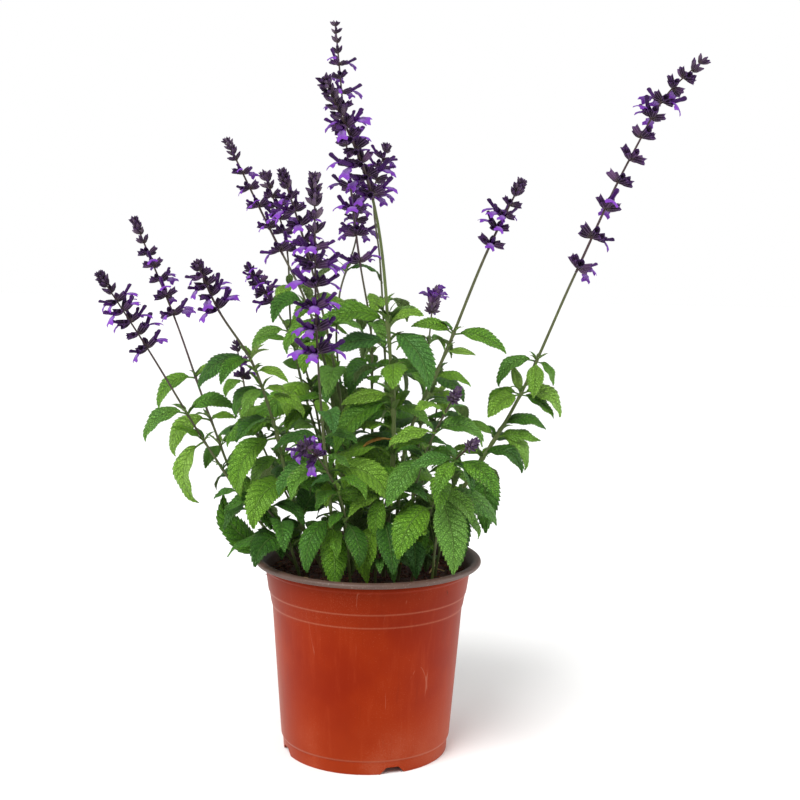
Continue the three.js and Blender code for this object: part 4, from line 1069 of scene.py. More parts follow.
def tube(centres, sides, across, radii, count):
    """Points and faces of a closed tube along some centres."""
    angles = round_angles(count)
    rims = [
        centre + r * (np.outer(np.cos(angles), side) + np.outer(np.sin(angles), other))
        for centre, side, other, r in zip(centres, sides, across, radii)
    ]
    return np.concatenate(rims), tube_faces(len(rims), count)


def tube_faces(rings, count):
    """Faces between rings of points, and a cap at each end."""
    faces = []
    for i in range(rings - 1):
        for k in range(count):
            a, b = i * count + k, i * count + (k + 1) % count
            faces.append([a, b, b + count, a + count])
    faces.append(list(range(count))[::-1])
    faces.append([(rings - 1) * count + k for k in range(count)])
    return faces


def smooth(mesh, sharp):
    """Smooth shading, but for edges that bend by more degrees than sharp."""
    mesh.shade_smooth()
    mesh.set_sharp_from_angle(angle=radians(sharp))
    return mesh


def make_piece(name, mesh, slot, *nodes, sharp=50):
    """An object that rides on the body and hides the nodes it stands for; slot is not used."""
    piece = shown(name, smooth(mesh, sharp))
    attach(piece, BODY)
    if nodes:
        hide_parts(*nodes)
    return piece


# %% Leaves as shells
RIB_PLACES = np.array([-PETIOLE, -0.08, 0.0, 0.1, 0.25, 0.45, 0.65, 0.88])
RIB_TAPER = np.array([1.15, 1.0, 0.95, 0.8, 0.62, 0.46, 0.32, 0.12])
RIB_SUNK = 0.55  # depth of the rib's middle under the blade, in its own radii
RIB_SIDES = 5
RIB_LEAST, RIB_FULL_LENGTH = 0.25, 50  # the thinnest rib, and the leaf whose rib is full
TONE_SEED = 900
TONE = (0.15, 0.92)  # from an old shaded leaf to a young one in the light
YOUNG_TONE = 0.2
LOW_LEAF, LOW_TONE = (170, 370), 0.24  # heights over which leaves get darker downwards, a painted shade for less light below
GROWN_OVER, SMALL_UNDER = 45, 20  # lengths that need the finest and the plainest grid
SWAY, BREADTH = (-0.07, 0.07), (0.82, 1.04)
CURL, WAVE = (0.0, 0.4), (0.3, 1.7)


def leaf_rib(leaf, thick):
    """The stalk, which runs on under the blade."""
    r = RIB_TAPER * thick
    centre = leaf.points(RIB_PLACES, 0.0, -r * RIB_SUNK)
    beside = leaf.points(RIB_PLACES, 1.0, -r * RIB_SUNK) - centre
    side = beside / np.linalg.norm(beside, axis=1)[:, None]
    along = np.gradient(centre, axis=0)
    along /= np.linalg.norm(along, axis=1)[:, None]
    return tube(centre, side, np.cross(along, side), r, RIB_SIDES)


def grid_for(leaf):
    if leaf.length > GROWN_OVER:
        return GROWN_GRID
    return MIDDLE_GRID if leaf.length > SMALL_UNDER else SMALL_GRID


def add_leaf(shape, leaf, tone, draw):
    grid = grid_for(leaf)
    leaf.sway = within(*SWAY, draw[4])
    breadth = within(*BREADTH, draw[3])
    points = grid.bent(leaf, breadth, within(*CURL, draw[0]), within(*WAVE, draw[1]))
    uv = np.stack([(grid.c + 1) / 2, grid.s], axis=1)
    shape.add(points, grid.faces, uv, tone=tone, under=grid.face_under, wither=leaf.wither)
    grown = within(RIB_LEAST, 1.0, min(1.0, leaf.length / RIB_FULL_LENGTH))
    points, faces = leaf_rib(leaf, RIB_R * grown)
    shape.add(points, faces, (0.5, 0.5), tone=tone, wither=leaf.wither)


def leaves_piece(stem):
    """All leaves of one stem as one mesh of closed shells."""
    stream = random_stream(TONE_SEED + stem.index)
    shape = Shape(numbers=["tone", "wither"], face_numbers=["under"])
    for leaf in stem.leaves + axil_leaves(stem) + withered_leaves(stem):
        draw = draws(stream, 5)
        # painted shade: leaves lower in the clump are darker, as less light reaches them
        shaded_below = float(np.interp(leaf.root[2], LOW_LEAF, (1, 0)))
        tone = max(0.0, within(*TONE, draw[2]) + YOUNG_TONE * leaf.young - LOW_TONE * shaded_below)
        add_leaf(shape, leaf, tone, draw)
    mesh = shape.mesh("leaves_" + stem.plan.name)
    mesh.materials.append(LEAF_SKIN)
    return make_piece(mesh.name, mesh, "foliage", "leafy_stem_" + stem.plan.name, sharp=60)


foliage = [leaves_piece(stem) for stem in stems]
print("triangles in leaves:", sum(len(p.data.loops) - 2 * len(p.data.polygons) for p in foliage))

# %% [markdown]
# ## Square stems
#
# All sages have square stems. A geometry tree sweeps a square with rounded corners along the
# path of each stem, thick at the foot and thin at the neck, with a swelling at every joint. The
# thickness at each point of the path is an attribute, so that one tree serves all stems.


# %% Geometry trees
def new_tree(name, sizes):
    """A tree with a named input for each size."""
    tree = bpy.data.node_groups.new(name, "GeometryNodeTree")
    tree.interface.new_socket(name="Geometry", in_out="INPUT", socket_type="NodeSocketGeometry")
    tree.interface.new_socket(name="Geometry", in_out="OUTPUT", socket_type="NodeSocketGeometry")
    for key, value in sizes.items():
        kind = "NodeSocketInt" if isinstance(value, int) else "NodeSocketFloat"
        tree.interface.new_socket(name=key, in_out="INPUT", socket_type=kind).default_value = value
    sheet = Sheet(tree)
    return sheet, sheet.add("NodeGroupInput", {})


def end_tree(sheet, geometry, *finishes):
    """Makes instances real and gives each finish to the faces that its mask selects."""
    wire = sheet.add("GeometryNodeRealizeInstances", {}, [geometry])
    for material, mask in finishes:
        inputs = {"Geometry": wire, "Material": material, "Selection": mask}
        wire = sheet.add("GeometryNodeSetMaterial", {}, inputs)
    sheet.add("NodeGroupOutput", {}, {"Geometry": wire})
    return sheet.tree


def named(sheet, name, kind="FLOAT"):
    return sheet.add("GeometryNodeInputNamedAttribute", {"data_type": kind}, {"Name": name})


def plain_mesh(thing, name):
    """What an object's modifiers make of its mesh. The object itself goes."""
    graph = bpy.context.evaluated_depsgraph_get()
    ready = thing.evaluated_get(graph)
    mesh = bpy.data.meshes.new_from_object(ready, preserve_all_data_layers=True, depsgraph=graph)
    mesh.name = name
    bpy.data.objects.remove(thing)
    return mesh


def run_tree(tree, mesh, name, **sizes):
    """Runs a tree on a mesh and gives the outcome as a plain mesh."""
    carrier = shown(name + "_carrier", mesh)
    modifier = carrier.modifiers.new("nodes", "NODES")
    modifier.node_group = tree
    for item in tree.interface.items_tree:
        if item.in_out == "INPUT" and item.name in sizes:
            modifier[item.identifier] = sizes[item.name]
    return plain_mesh(carrier, name)


# %% The stem tree
CORNER = 0.45  # rounding of the square's corners, in half widths
STEM_WIDTH = 1.42  # the square's side, in radii of the round stem that it stands for


def swept_square(sheet, start, thickness):
    """A square with rounded corners, swept along the edges of the input mesh."""
    path = sheet.add("GeometryNodeMeshToCurve", {}, [start])
    width = start.out("Stem width") * MM
    square = sheet.add("GeometryNodeCurvePrimitiveQuadrilateral", {}, {"Width": width, "Height": width})
    fillet = {"Curve": square, "Radius": width * (CORNER / 2), "Count": 3}
    profile = sheet.add("GeometryNodeFilletCurve", {"mode": "POLY"}, fillet)
    inputs = {"Curve": path, "Profile Curve": profile, "Scale": thickness, "Fill Caps": True}
    return sheet.add("GeometryNodeCurveToMesh", {}, inputs)


def stem_tree():
    sheet, start = new_tree("square stem", {"Stem width": STEM_WIDTH})
    swept = swept_square(sheet, start, named(sheet, "thick"))
    return end_tree(sheet, swept, (STEM_BARK, True))


# %% The stems
JOINT_SWELL = 0.32  # of the thickness, at a joint
JOINT_REACH = 3.0
PATH_STEP = 3.0
SHOOT_TAPER = 0.7  # thickness at the tip of a shoot without flowers
FLUSH = {  # how far the purple runs down a stem
    "left": 0.5, "far_left": 0.35, "tall_back": 0.1, "right": 0.05, "far_right": 0.0,
    "tall_front": -0.35,
}
FLUSH_ELSEWHERE = 0.15


def stem_line(stem):
    """Points along a stem, with its thickness and how far up each lies."""
    end = stem.neck - (TOUCH / 2 if stem.plan.spike else 0)
    marks = np.linspace(0, end, int(end / PATH_STEP) + 1)
    points = np.array([stem.path.point(d) for d in marks])
    thick = np.array([stem.radius(d) for d in marks])
    for root in {tuple(np.round(leaf.root, 2)) for leaf in stem.leaves}:
        gap = np.linalg.norm(points - np.array(root), axis=1)
        thick = thick * (1 + JOINT_SWELL * np.exp(-((gap / JOINT_REACH) ** 2)))
    if not stem.plan.spike:
        thick[-2:] *= SHOOT_TAPER
    return points, thick, np.clip(marks / stem.neck, 0, 1)


def stem_piece(stem, tree):
    shape = Shape(numbers=["thick", "rise", "flush"])
    points, thick, rise = stem_line(stem)
    flush = FLUSH.get(stem.plan.name, FLUSH_ELSEWHERE)
    shape.add(points, joined=True, thick=thick, rise=rise, flush=flush)
    name = "stem_" + stem.plan.name
    mesh = run_tree(tree, shape.mesh(name + "_path"), name)
    return make_piece(name, mesh, "foliage", "leafy_stem_" + stem.plan.name)


tree = stem_tree()
bark = [stem_piece(stem, tree) for stem in stems]
print("stems swept:", len(bark), "with", sum(len(p.data.polygons) for p in bark), "faces")

# %% [markdown]
# ## Flowers
#
# A spike carries whorls: rings of flowers in two fans, close together above and further apart
# below. Each flower is a dark ribbed calyx, shaped like a small bell with three points. From the
# open ones stands a violet corolla, with a hood that arches over and a broad lip that hangs
# down. Towards the tip the flowers are still plain closed buds, and the shortest spikes are
# egg-shaped heads of buds. The shapes are modelled once, with a few dozen faces each, because a
# geometry tree puts over a thousand of them on the spikes.

# %% The calyx
FLOWER_MARKS = ["lip", "throat", "bud"]  # what the flowers' materials read from their parts
CALYX_SIDES = 8
CALYX_LENGTH = 9.2
CALYX_RINGS = [(0.0, 0.8), (0.13, 1.6), (0.42, 2.35), (0.72, 2.5)]  # share of length, radius
CALYX_MOUTH = 2.45
# How far the rim reaches at each side, as a share of the length, from the top round.
TEETH = np.array([1.06, 0.94, 0.86, 1.02, 0.88, 1.02, 0.86, 0.94])
EVEN_RIM = 0.9
TOOTH_FLARE = 0.35  # how much wider the rim is where it reaches past the even rim
INNER_RIM = (0.2, 0.75)  # depth below the rim, and radius beside it
CALYX_BOTTOM = (0.5, 0.3)  # the hollow's end: share of the length, and of the mouth's radius


def turned_about_axis(sides):
    """Points of a unit ring, from the top round."""
    angles = pi / 2 + round_angles(sides)
    return np.stack([np.cos(angles), np.sin(angles)], axis=1)


def ring_uv(points, sides, length):
    """A UV map whose u runs round and whose v runs from foot to tip."""
    share = np.tile(np.arange(sides) / sides, len(points) // sides)
    return np.stack([share, points[:, 2] / length], axis=1)


def calyx_shape():
    """A bell with one point above and two below, hollow at its mouth."""
    ring = turned_about_axis(CALYX_SIDES)
    rows = [(np.full(CALYX_SIDES, z), np.full(CALYX_SIDES, r)) for z, r in CALYX_RINGS]
    flared = CALYX_MOUTH * (1 + TOOTH_FLARE * (TEETH - EVEN_RIM))
    rows.append((TEETH, flared))
    rows.append((TEETH - INNER_RIM[0], flared * INNER_RIM[1]))
    depth, share = CALYX_BOTTOM
    rows.append((np.full(CALYX_SIDES, depth), np.full(CALYX_SIDES, CALYX_MOUTH * share)))
    points = np.concatenate([np.column_stack([ring * r[:, None], z * CALYX_LENGTH]) for z, r in rows])
    shape = Shape(numbers=FLOWER_MARKS)
    shape.add(points, tube_faces(len(rows), CALYX_SIDES), ring_uv(points, CALYX_SIDES, CALYX_LENGTH))
    return shape.mesh("a_calyx")


# %% The bud
BUD_RINGS = [(0.0, 0.6), (0.22, 1.45), (0.6, 1.5), (0.97, 0.35)]
BUD_SIDES = 6
BUD_LENGTH = 7.5


def bud_shape():
    ring = turned_about_axis(BUD_SIDES)
    points = np.concatenate(
        [np.column_stack([ring * r, np.full(BUD_SIDES, z * BUD_LENGTH)]) for z, r in BUD_RINGS]
    )
    shape = Shape(numbers=FLOWER_MARKS)
    uv = ring_uv(points, BUD_SIDES, BUD_LENGTH)
    shape.add(points, tube_faces(len(BUD_RINGS), BUD_SIDES), uv, bud=1.0)
    return shape.mesh("b_bud")


# %% The corolla
HOOD = [  # along the flower, above its axis, half width, half height
    (3.5, 0.0, 1.0, 1.0),
    (9.2, 0.2, 1.5, 1.5),
    (11.8, 0.8, 1.6, 1.7),
    (14.4, 1.7, 1.5, 1.7),
    (16.8, 2.6, 1.9, 2.1),
    (18.6, 2.7, 1.6, 1.6),
    (19.6, 2.2, 0.5, 0.5),
]
HOOD_SIDES = 6
LIP = [  # along the flower, above its axis, half width
    (8.0, -0.6, 1.3),
    (10.8, -1.2, 1.9),
    (13.0, -2.4, 4.3),
    (14.9, -4.2, 3.6),
    (16.5, -6.4, 5.4),
    (17.2, -8.8, 4.2),
]
LIP_CROSS = (-1.0, -0.5, 0.0, 0.5, 1.0)
LIP_THICK = 0.4
LIP_CUP = 0.26  # how far its sides bend down, as a share of the half width
LIP_NOTCH = 1.3  # depth of the notch in its end
HOOD_SHADE, LIP_SHADE = 0.25, 0.55  # where hood and lip begin on the ramp of violets
LIP_DROOP = 8.0  # fall over which the lip gets paler
THROAT_PLACE, THROAT_REACH, THROAT_HALF = 13.4, 2.4, 2.3  # the pale mark, along and to each side


def hood_shell():
    angles = round_angles(HOOD_SIDES)
    rows = []
    for z, y, half, high in HOOD:
        aside, above = half * np.cos(angles), y + high * np.sin(angles)
        rows.append(np.column_stack([aside, above, np.full(HOOD_SIDES, z)]))
    return np.concatenate(rows), tube_faces(len(rows), HOOD_SIDES)


def lip_shell():
    """A lobed tongue, hollow across, with a notch in its end."""
    cross = np.array(LIP_CROSS)
    rings = []
    for i, (z, y, half) in enumerate(LIP):
        notch = LIP_NOTCH * (1 - np.abs(cross)) if i == len(LIP) - 1 else 0.0
        cup = LIP_CUP * half * cross**2
        top = np.stack([half * cross, y - cup + notch, z - cup * 0.5 + 0 * cross], axis=1)
        low = top[::-1] - np.array([0.0, LIP_THICK * 0.6, LIP_THICK])
        low[[0, -1]] += [[-0.1, 0, 0], [0.1, 0, 0]]
        rings.append(np.concatenate([top, low]))
    return np.concatenate(rings), tube_faces(len(rings), 2 * len(cross))


def corolla_shape():
    shape = Shape(numbers=FLOWER_MARKS)
    points, faces = hood_shell()
    shape.add(points, faces, lip=np.clip(HOOD_SHADE - points[:, 1] * 0.02, 0, 1))
    points, faces = lip_shell()
    droop = np.clip(-points[:, 1] / LIP_DROOP, 0, 1)
    pale = np.clip(1 - np.abs(points[:, 2] - THROAT_PLACE) / THROAT_REACH, 0, 1)
    pale = pale * (np.abs(points[:, 0]) < THROAT_HALF)
    shape.add(points, faces, lip=within(LIP_SHADE, 1.0, droop), throat=pale)
    return shape.mesh("c_corolla")


FLOWER_PARTS = [calyx_shape(), bud_shape(), corolla_shape()]
print("faces on the calyx, the bud and the corolla:", [len(m.polygons) for m in FLOWER_PARTS])

# %% Where the flowers stand on a spike
RACHIS_KIND, CALYX_KIND, BUD_KIND, COROLLA_KIND = 0, 1, 2, 3
FIRST_WHORL = 5  # from the foot of the spike
CROWD = 0.6  # how much closer together the whorls stand towards the tip
SHRINK, SHRINK_POWER = 0.5, 2.0  # how much smaller they get, and how late
BLUNT = {"tall_front": 0.3, "back_inner": 0.35, "far_right": 0.3}  # they shrink less here
FLOWER_SIZE = {
    "tall_front": 1.08, "tall_back": 1.06, "front": 1.18, "inner": 1.05, "far_right": 1.28,
    "back_far_left": 0.85, "bud_front": 0.8,
}
SPACED = ("tall_back", "far_right")  # spikes whose upper whorls stand apart too
CLOSED_ABOVE = 0.74  # whorls smaller than this have another one between them
BUD_SPIKE = 30  # a spike shorter than this is in bud
BUDS_FROM = 0.74  # share of a spike's length above which its whorls are still in bud
BUDS_ELSEWHERE = {
    "tall_front": 0.64, "tall_back": 0.86, "front": 0.66, "inner": 0.8, "mid_left": 0.8,
    "far_right": 0.94,
}
BUD_SCALE = 1.28  # of a bud beside a calyx of the same whorl
SPIKE_TIP = 3  # from the last whorl to the end
RACHIS_TIP_R = 0.8  # the flowering part of a stem is called its rachis
SPIKE_TONES, HEAD_TONES = (0.0, 0.9), (0.55, 1.0)
INTO_CALYX = 0.3  # how far out of its calyx a corolla's own foot is moved
FLOWER_SEED = 300


def whorls(stem):
    """Distance along the path, size, fan angle and whether in bud, from the lowest whorl up."""
    spike, name = stem.plan.spike, stem.plan.name
    buds_from = BUDS_ELSEWHERE.get(name, BUDS_FROM)
    run = spike.length - FIRST_WHORL - SPIKE_TIP
    shrink = BLUNT.get(name, SHRINK)
    halves = 1 if name in SPACED else 2
    for k in range(halves * (spike.whorls - 1) + 1):
        share = k / halves / (spike.whorls - 1)
        size = 1 - shrink * share**SHRINK_POWER
        if k % halves and size > CLOSED_ABOVE:
            continue
        distance = stem.neck + FIRST_WHORL + run * share * (1 + CROWD * (1 - share))
        in_bud = distance > stem.neck + spike.length * buds_from
        yield distance, size * FLOWER_SIZE.get(name, 1.0), pi / 4 + k * pi / 2, in_bud


def facing(flank, upward, axis):
    """The turn that lays a flower's own axes along these, as Euler angles."""
    return np.array(Matrix([list(flank), list(upward), list(axis)]).transposed().to_euler())


class SpikePoints:
    """Points that carry the flowers of a spike."""

    def __init__(self, stem):
        self.stem = stem
        self.shape = Shape(numbers=["thick", "rise", "flush", "kind", "tone"], vectors=["turn", "size"])
        self.random = random_stream(FLOWER_SEED + stem.index)
        self.tones = HEAD_TONES if stem.plan.spike.length < BUD_SPIKE else SPIKE_TONES

    def put(self, kind, place, flank, upward, axis, size, tone):
        turn = facing(flank, upward, axis)
        self.shape.add([place], kind=kind, turn=turn, size=size, tone=tone)

    def flower(self, frame_axes, distance, azimuth, size, lean, stage):
        along, side, across = frame_axes
        radial = cos(azimuth) * side + sin(azimuth) * across
        axis = cos(lean) * along + sin(lean) * radial
        flank = np.cross(along, radial)
        upward = np.cross(axis, flank)
        place = self.stem.path.point(distance) + radial * self.rachis(distance)
        tone = within(*self.tones, next(self.random))
        if stage == "bud":
            self.put(BUD_KIND, place, flank, upward, axis, [size * BUD_SCALE] * 3, tone)
            return
        self.put(CALYX_KIND, place, flank, upward, axis, [size] * 3, tone)
        if stage == "open":
            grown = size * within(*COROLLA_SIZE, next(self.random))
            foot = place + axis * INTO_CALYX
            self.put(COROLLA_KIND, foot, flank, upward, axis, [grown] * 3, tone)

    def rachis(self, distance):
        share = (distance - self.stem.neck) / self.stem.plan.spike.length
        return within(STEM_NECK_R * self.stem.plan.girth, RACHIS_TIP_R, min(share, 1))


# %% One flower of a whorl
FAN_SPREAD = radians(40)  # between neighbours in a fan
FAN_SWING = radians(12)  # how far a fan may turn out of its even place
FAN_UNEVEN = (0.8, 1.15)  # shares of that spread
FLORET_LEAN = (56, 84)  # degrees from the spike's axis
FLORET_SIZE = (0.86, 1.12)
FLORET_DROP, FLORET_STRAY = 0.6, 0.8  # millimetres along the spike
BUD_LEAN = (30, 56)
COROLLA_SIZE = (0.66, 1.04)
OPEN_MORE = {"far_right": 0.85, "front": 1.7, "inner": 1.3, "back_right": 1.3}
OPEN_MORE_ELSEWHERE = 1.05  # times the share of open flowers that the plan gives


def fan_flower(points, axes, distance, middle, place, size, in_bud):
    """One flower of a fan of three; the middle one, place 0, sits a little lower."""
    plan = points.stem.plan
    draw = draws(points.random, 5)
    lean = radians(within(*(BUD_LEAN if in_bud else FLORET_LEAN), draw[0]))
    azimuth = middle + place * FAN_SPREAD * within(*FAN_UNEVEN, draw[1])
    grown = size * within(*FLORET_SIZE, draw[2])
    up = distance + (abs(place) - FLORET_DROP + FLORET_STRAY * (draw[4] - 0.5)) * size
    is_open = draw[3] < plan.spike.open * OPEN_MORE.get(plan.name, OPEN_MORE_ELSEWHERE)
    stage = "bud" if in_bud else "open" if is_open else "closed"
    points.flower(axes, up, azimuth, grown, lean, stage)


# %% A head of buds
HEAD_ROWS, HEAD_ROUND = 6, 7
HEAD_FOOT, HEAD_TIP = 1.5, 3.5  # room below the lowest row and above the top one
HEAD_LEAN = (70, 8)  # degrees, from the lowest row to the top
HEAD_STRAY = (-8, 8)
HEAD_SIZE = (0.5, 0.62)
HEAD_OPEN_OVER = 20  # a head longer than this is larger, with its first flowers open
HEAD_GROWN = 1.3
HEAD_OPEN = 0.2  # share of them


def bud_head(points):
    """A short egg-shaped head of buds pressed close together."""
    stem = points.stem
    length = stem.plan.spike.length
    is_grown = length > HEAD_OPEN_OVER
    grown = HEAD_GROWN if is_grown else 1.0
    for k in range(HEAD_ROWS):
        share = k / (HEAD_ROWS - 1)
        distance = stem.neck + HEAD_FOOT + (length - HEAD_FOOT - HEAD_TIP) * share
        axes = stem.path.axes(distance)
        for i in range(HEAD_ROUND):
            draw = draws(points.random, 4)
            azimuth = 2 * pi * (i + 0.5 * (k % 2) + 0.3 * draw[0]) / HEAD_ROUND
            lean = radians(within(*HEAD_LEAN, share) + within(*HEAD_STRAY, draw[1]))
            may_open = is_grown and 0 < k < HEAD_ROWS - 1
            stage = "open" if may_open and draw[3] < HEAD_OPEN else "bud"
            size = within(*HEAD_SIZE, draw[2]) * grown
            points.flower(axes, distance, azimuth, size, lean, stage)


# %% Filling one spike with flowers
TIP_BUDS, TIP_BUD_SIZE = 6, 0.42
TIP_LEAN = (8, 34)  # degrees from the spike's axis
TIP_BELOW = 2.5  # from the spike's end


def fill_spike(stem):
    """The axis as a line, then the flowers of each whorl and the buds at the tip."""
    points = SpikePoints(stem)
    end = stem.neck + stem.plan.spike.length
    marks = np.linspace(stem.neck + TOUCH / 2, end, int(stem.plan.spike.length / PATH_STEP) + 1)
    line = [stem.path.point(d) for d in marks]
    thick = [points.rachis(d) for d in marks]
    points.shape.add(line, joined=True, thick=thick, rise=1.0, flush=0.6)
    if stem.plan.spike.length < BUD_SPIKE:
        bud_head(points)
        return points.shape
    for distance, size, angle, in_bud in whorls(stem):
        axes = stem.path.axes(distance)
        for half_turn in (0, pi):
            middle = angle + half_turn + FAN_SWING * (2 * next(points.random) - 1)
            for place in (0, -1, 1):
                fan_flower(points, axes, distance, middle, place, size, in_bud)
    axes = stem.path.axes(end - 1)
    for i in range(TIP_BUDS):
        draw = draws(points.random, 2)
        lean = radians(within(*TIP_LEAN, draw[0]))
        azimuth = 2 * pi * (i + draw[1] * 0.4) / TIP_BUDS
        points.flower(axes, end - TIP_BELOW, azimuth, TIP_BUD_SIZE, lean, "bud")
    return points.shape


print("points on the first spike:", fill_spike(stems[0]).count)


# %% Shapes that a tree picks from
def shape_store(name, meshes):
    """A collection outside the scene. A tree sorts its shapes by name and counts them from 0."""
    store = bpy.data.collections.new(name)
    for mesh in meshes:
        store.objects.link(bpy.data.objects.new(mesh.name, mesh))
    return store


def planted(sheet, points, store, index, turn, scale):
    """A shape from the store on each point, picked by index, turned and scaled."""
    parts = {"Collection": store, "Separate Children": True, "Reset Children": True}
    pick = sheet.add("GeometryNodeCollectionInfo", {}, parts)
    inputs = {"Points": points, "Instance": pick, "Pick Instance": True, "Instance Index": index}
    inputs["Rotation"] = sheet.add("FunctionNodeEulerToRotation", {}, [turn])
    return sheet.add("GeometryNodeInstanceOnPoints", {}, {**inputs, "Scale": scale})


# %% The spike tree
def is_kind(sheet, kind, number):
    return sheet.add("FunctionNodeCompare", {"operation": "EQUAL"}, [kind, float(number)])


def spike_tree(store):
    sheet, start = new_tree("flower spike", {"Stem width": STEM_WIDTH, "Flower scale": 1.0})
    kind = named(sheet, "kind")
    rachis = swept_square(sheet, start, named(sheet, "thick"))
    carries = sheet.add("FunctionNodeCompare", {"operation": "GREATER_THAN"}, [kind, 0.5])
    points = sheet.add("GeometryNodeMeshToPoints", {}, {"Mesh": start, "Selection": carries})
    size = {0: named(sheet, "size", "FLOAT_VECTOR"), "Scale": start.out("Flower scale")}
    scale = sheet.add("ShaderNodeVectorMath", {"operation": "SCALE"}, size)
    turn = named(sheet, "turn", "FLOAT_VECTOR")
    flowers = planted(sheet, points, store, kind - 1.0, turn, scale)
    green = is_kind(sheet, kind, RACHIS_KIND)
    dark = sheet.add("FunctionNodeCompare", {"operation": "LESS_THAN"}, [abs(kind - 1.5), 0.75])
    violet = is_kind(sheet, kind, COROLLA_KIND)
    finishes = ((STEM_BARK, green), (CALYX_SKIN, dark), (COROLLA_SKIN, violet))
    return end_tree(sheet, sheet.join(rachis, flowers), *finishes)


def spike_piece(stem, tree):
    name = "spike_" + stem.plan.name
    mesh = run_tree(tree, fill_spike(stem).mesh(name + "_points"), name)
    return make_piece(name, mesh, "flowers", "flower_spike_" + stem.plan.name, sharp=40)


tree = spike_tree(shape_store("flower parts", [smooth(mesh, 40) for mesh in FLOWER_PARTS]))
spikes = [spike_piece(stem, tree) for stem in stems if stem.plan.spike]
print("spikes:", len(spikes), "with", sum(len(p.data.polygons) for p in spikes), "faces")

# %% [markdown]
# ## The pot
#
# A nursery pot is drawn from one thin sheet of plastic over a mould: a plain wall that widens
# upwards, two faint steps near the top, a foot band, and a lip rolled outwards for stiffness. One
# outline spun round the axis gives all of it, inside and out, as one closed shell. The drainage
# notches in the foot and the holes in the floor are then cut out with Boolean modifiers.

# %% The pot's outline
FOOT_R, FOOT_UNDER_R = 69.3, 66.5
FLOOR_Z = 4.5

POT_OUTSIDE = [  # radius, height, rounding of the corner, from the middle of the underside
    (16.0, 0.0, 0.6),
    (19.0, FLOOR_Z, 1.5),
    (63.5, FLOOR_Z, 1.0),
    (FOOT_UNDER_R, 0.0, 0.8),
    (FOOT_R, 0.0, 0.7),
    (69.9, 10.5, 0.5),
    (71.4, 12.6, 1.2),
    (79.7, 123.7, 1.5),
    (80.7, 126.7, 1.2),
    (82.2, 135.5, 1.5),
    (83.2, 137.5, 1.2),
    (85.6, 154.6, 0.6),
    (86.6, 156.0, 0.6),
    (86.6, 157.6, 0.6),
    (86.1, 160.0, 0.5),
    (93.6, 160.3, 1.2),
    (95.0, 162.0, 1.4),
    (94.2, 164.1, 1.2),
    (91.8, 165.0, 1.4),
    (88.5, 164.4, 1.6),
]
POT_INSIDE = [
    (84.7, 157.7, 1.6),
    (81.6, 137.0, 1.0),
    (80.6, 135.0, 1.0),
    (79.2, 126.0, 1.0),
    (78.2, 123.0, 1.0),
    (70.0, 13.5, 1.0),
    (65.0, 5.9, 1.0),
]
ARC_STEPS = 3
ARC_REACH = 0.45  # of a side, the most that one corner's arc takes up
POT_SEGMENTS = 160


def rounded(corners, start, end):
    """The outline with each corner replaced by a small arc."""
    places = [np.array(start, float), *(np.array(c[:2], float) for c in corners), np.array(end, float)]
    line = [tuple(places[0])]
    for before, here, after, corner in zip(places, places[1:], places[2:], corners):
        a, b = (
            here + unit(side - here) * min(corner[2], ARC_REACH * np.linalg.norm(side - here))
            for side in (before, after)
        )
        for k in range(ARC_STEPS + 1):
            t = k / ARC_STEPS
            line.append(tuple(a * (1 - t) ** 2 + here * 2 * t * (1 - t) + b * t**2))
    return [*line, tuple(places[-1])]


def spun(outline, segments, first_inner):
    """Points and faces of an outline spun round the axis, and which faces lie inside."""
    angles = round_angles(segments)
    ring = np.stack([np.cos(angles), np.sin(angles), 0 * angles], axis=1)
    middle = [np.array([[0, 0, outline[0][1]]]), np.array([[0, 0, outline[-1][1]]])]
    rings = [ring * r + np.array([0, 0, z]) for r, z in outline[1:-1]]
    points = np.concatenate([*rings, *middle])
    faces, inner = [], []
    for i in range(len(rings) - 1):
        for k in range(segments):
            a, b = i * segments + k, i * segments + (k + 1) % segments
            faces.append([a, b, b + segments, a + segments])
            inner.append(i + 1 >= first_inner)
    last = (len(rings) - 1) * segments
    for k in range(segments):
        n = (k + 1) % segments
        faces.append([len(points) - 2, n, k])
        faces.append([len(points) - 1, last + k, last + n])
        inner += [False, True]
    return points, faces, inner


print("corners on the outline:", len(POT_OUTSIDE) + len(POT_INSIDE))

# %% [markdown]
# ### Pot plastic
#
# The wall is brick red and nearly matte. Handling and potting left faint upright scuffs, a few
# hair-thin scratches, a dusting of dry mix towards the foot, and a paler line along each step.
# The red is a little deeper under the lip, a painted shade for the lip's shadow, and paler towards the
# foot.
# A thin dusty film, made with sheen, whitens the wall where it turns away. The lip and the inside
# are a darker grey-brown, as the sheet was made in two layers.


# %% Pot materials
PALE_STEP_LINES = (125.2, 136.5, 12.0)  # heights of the two lines and of the foot band's edge


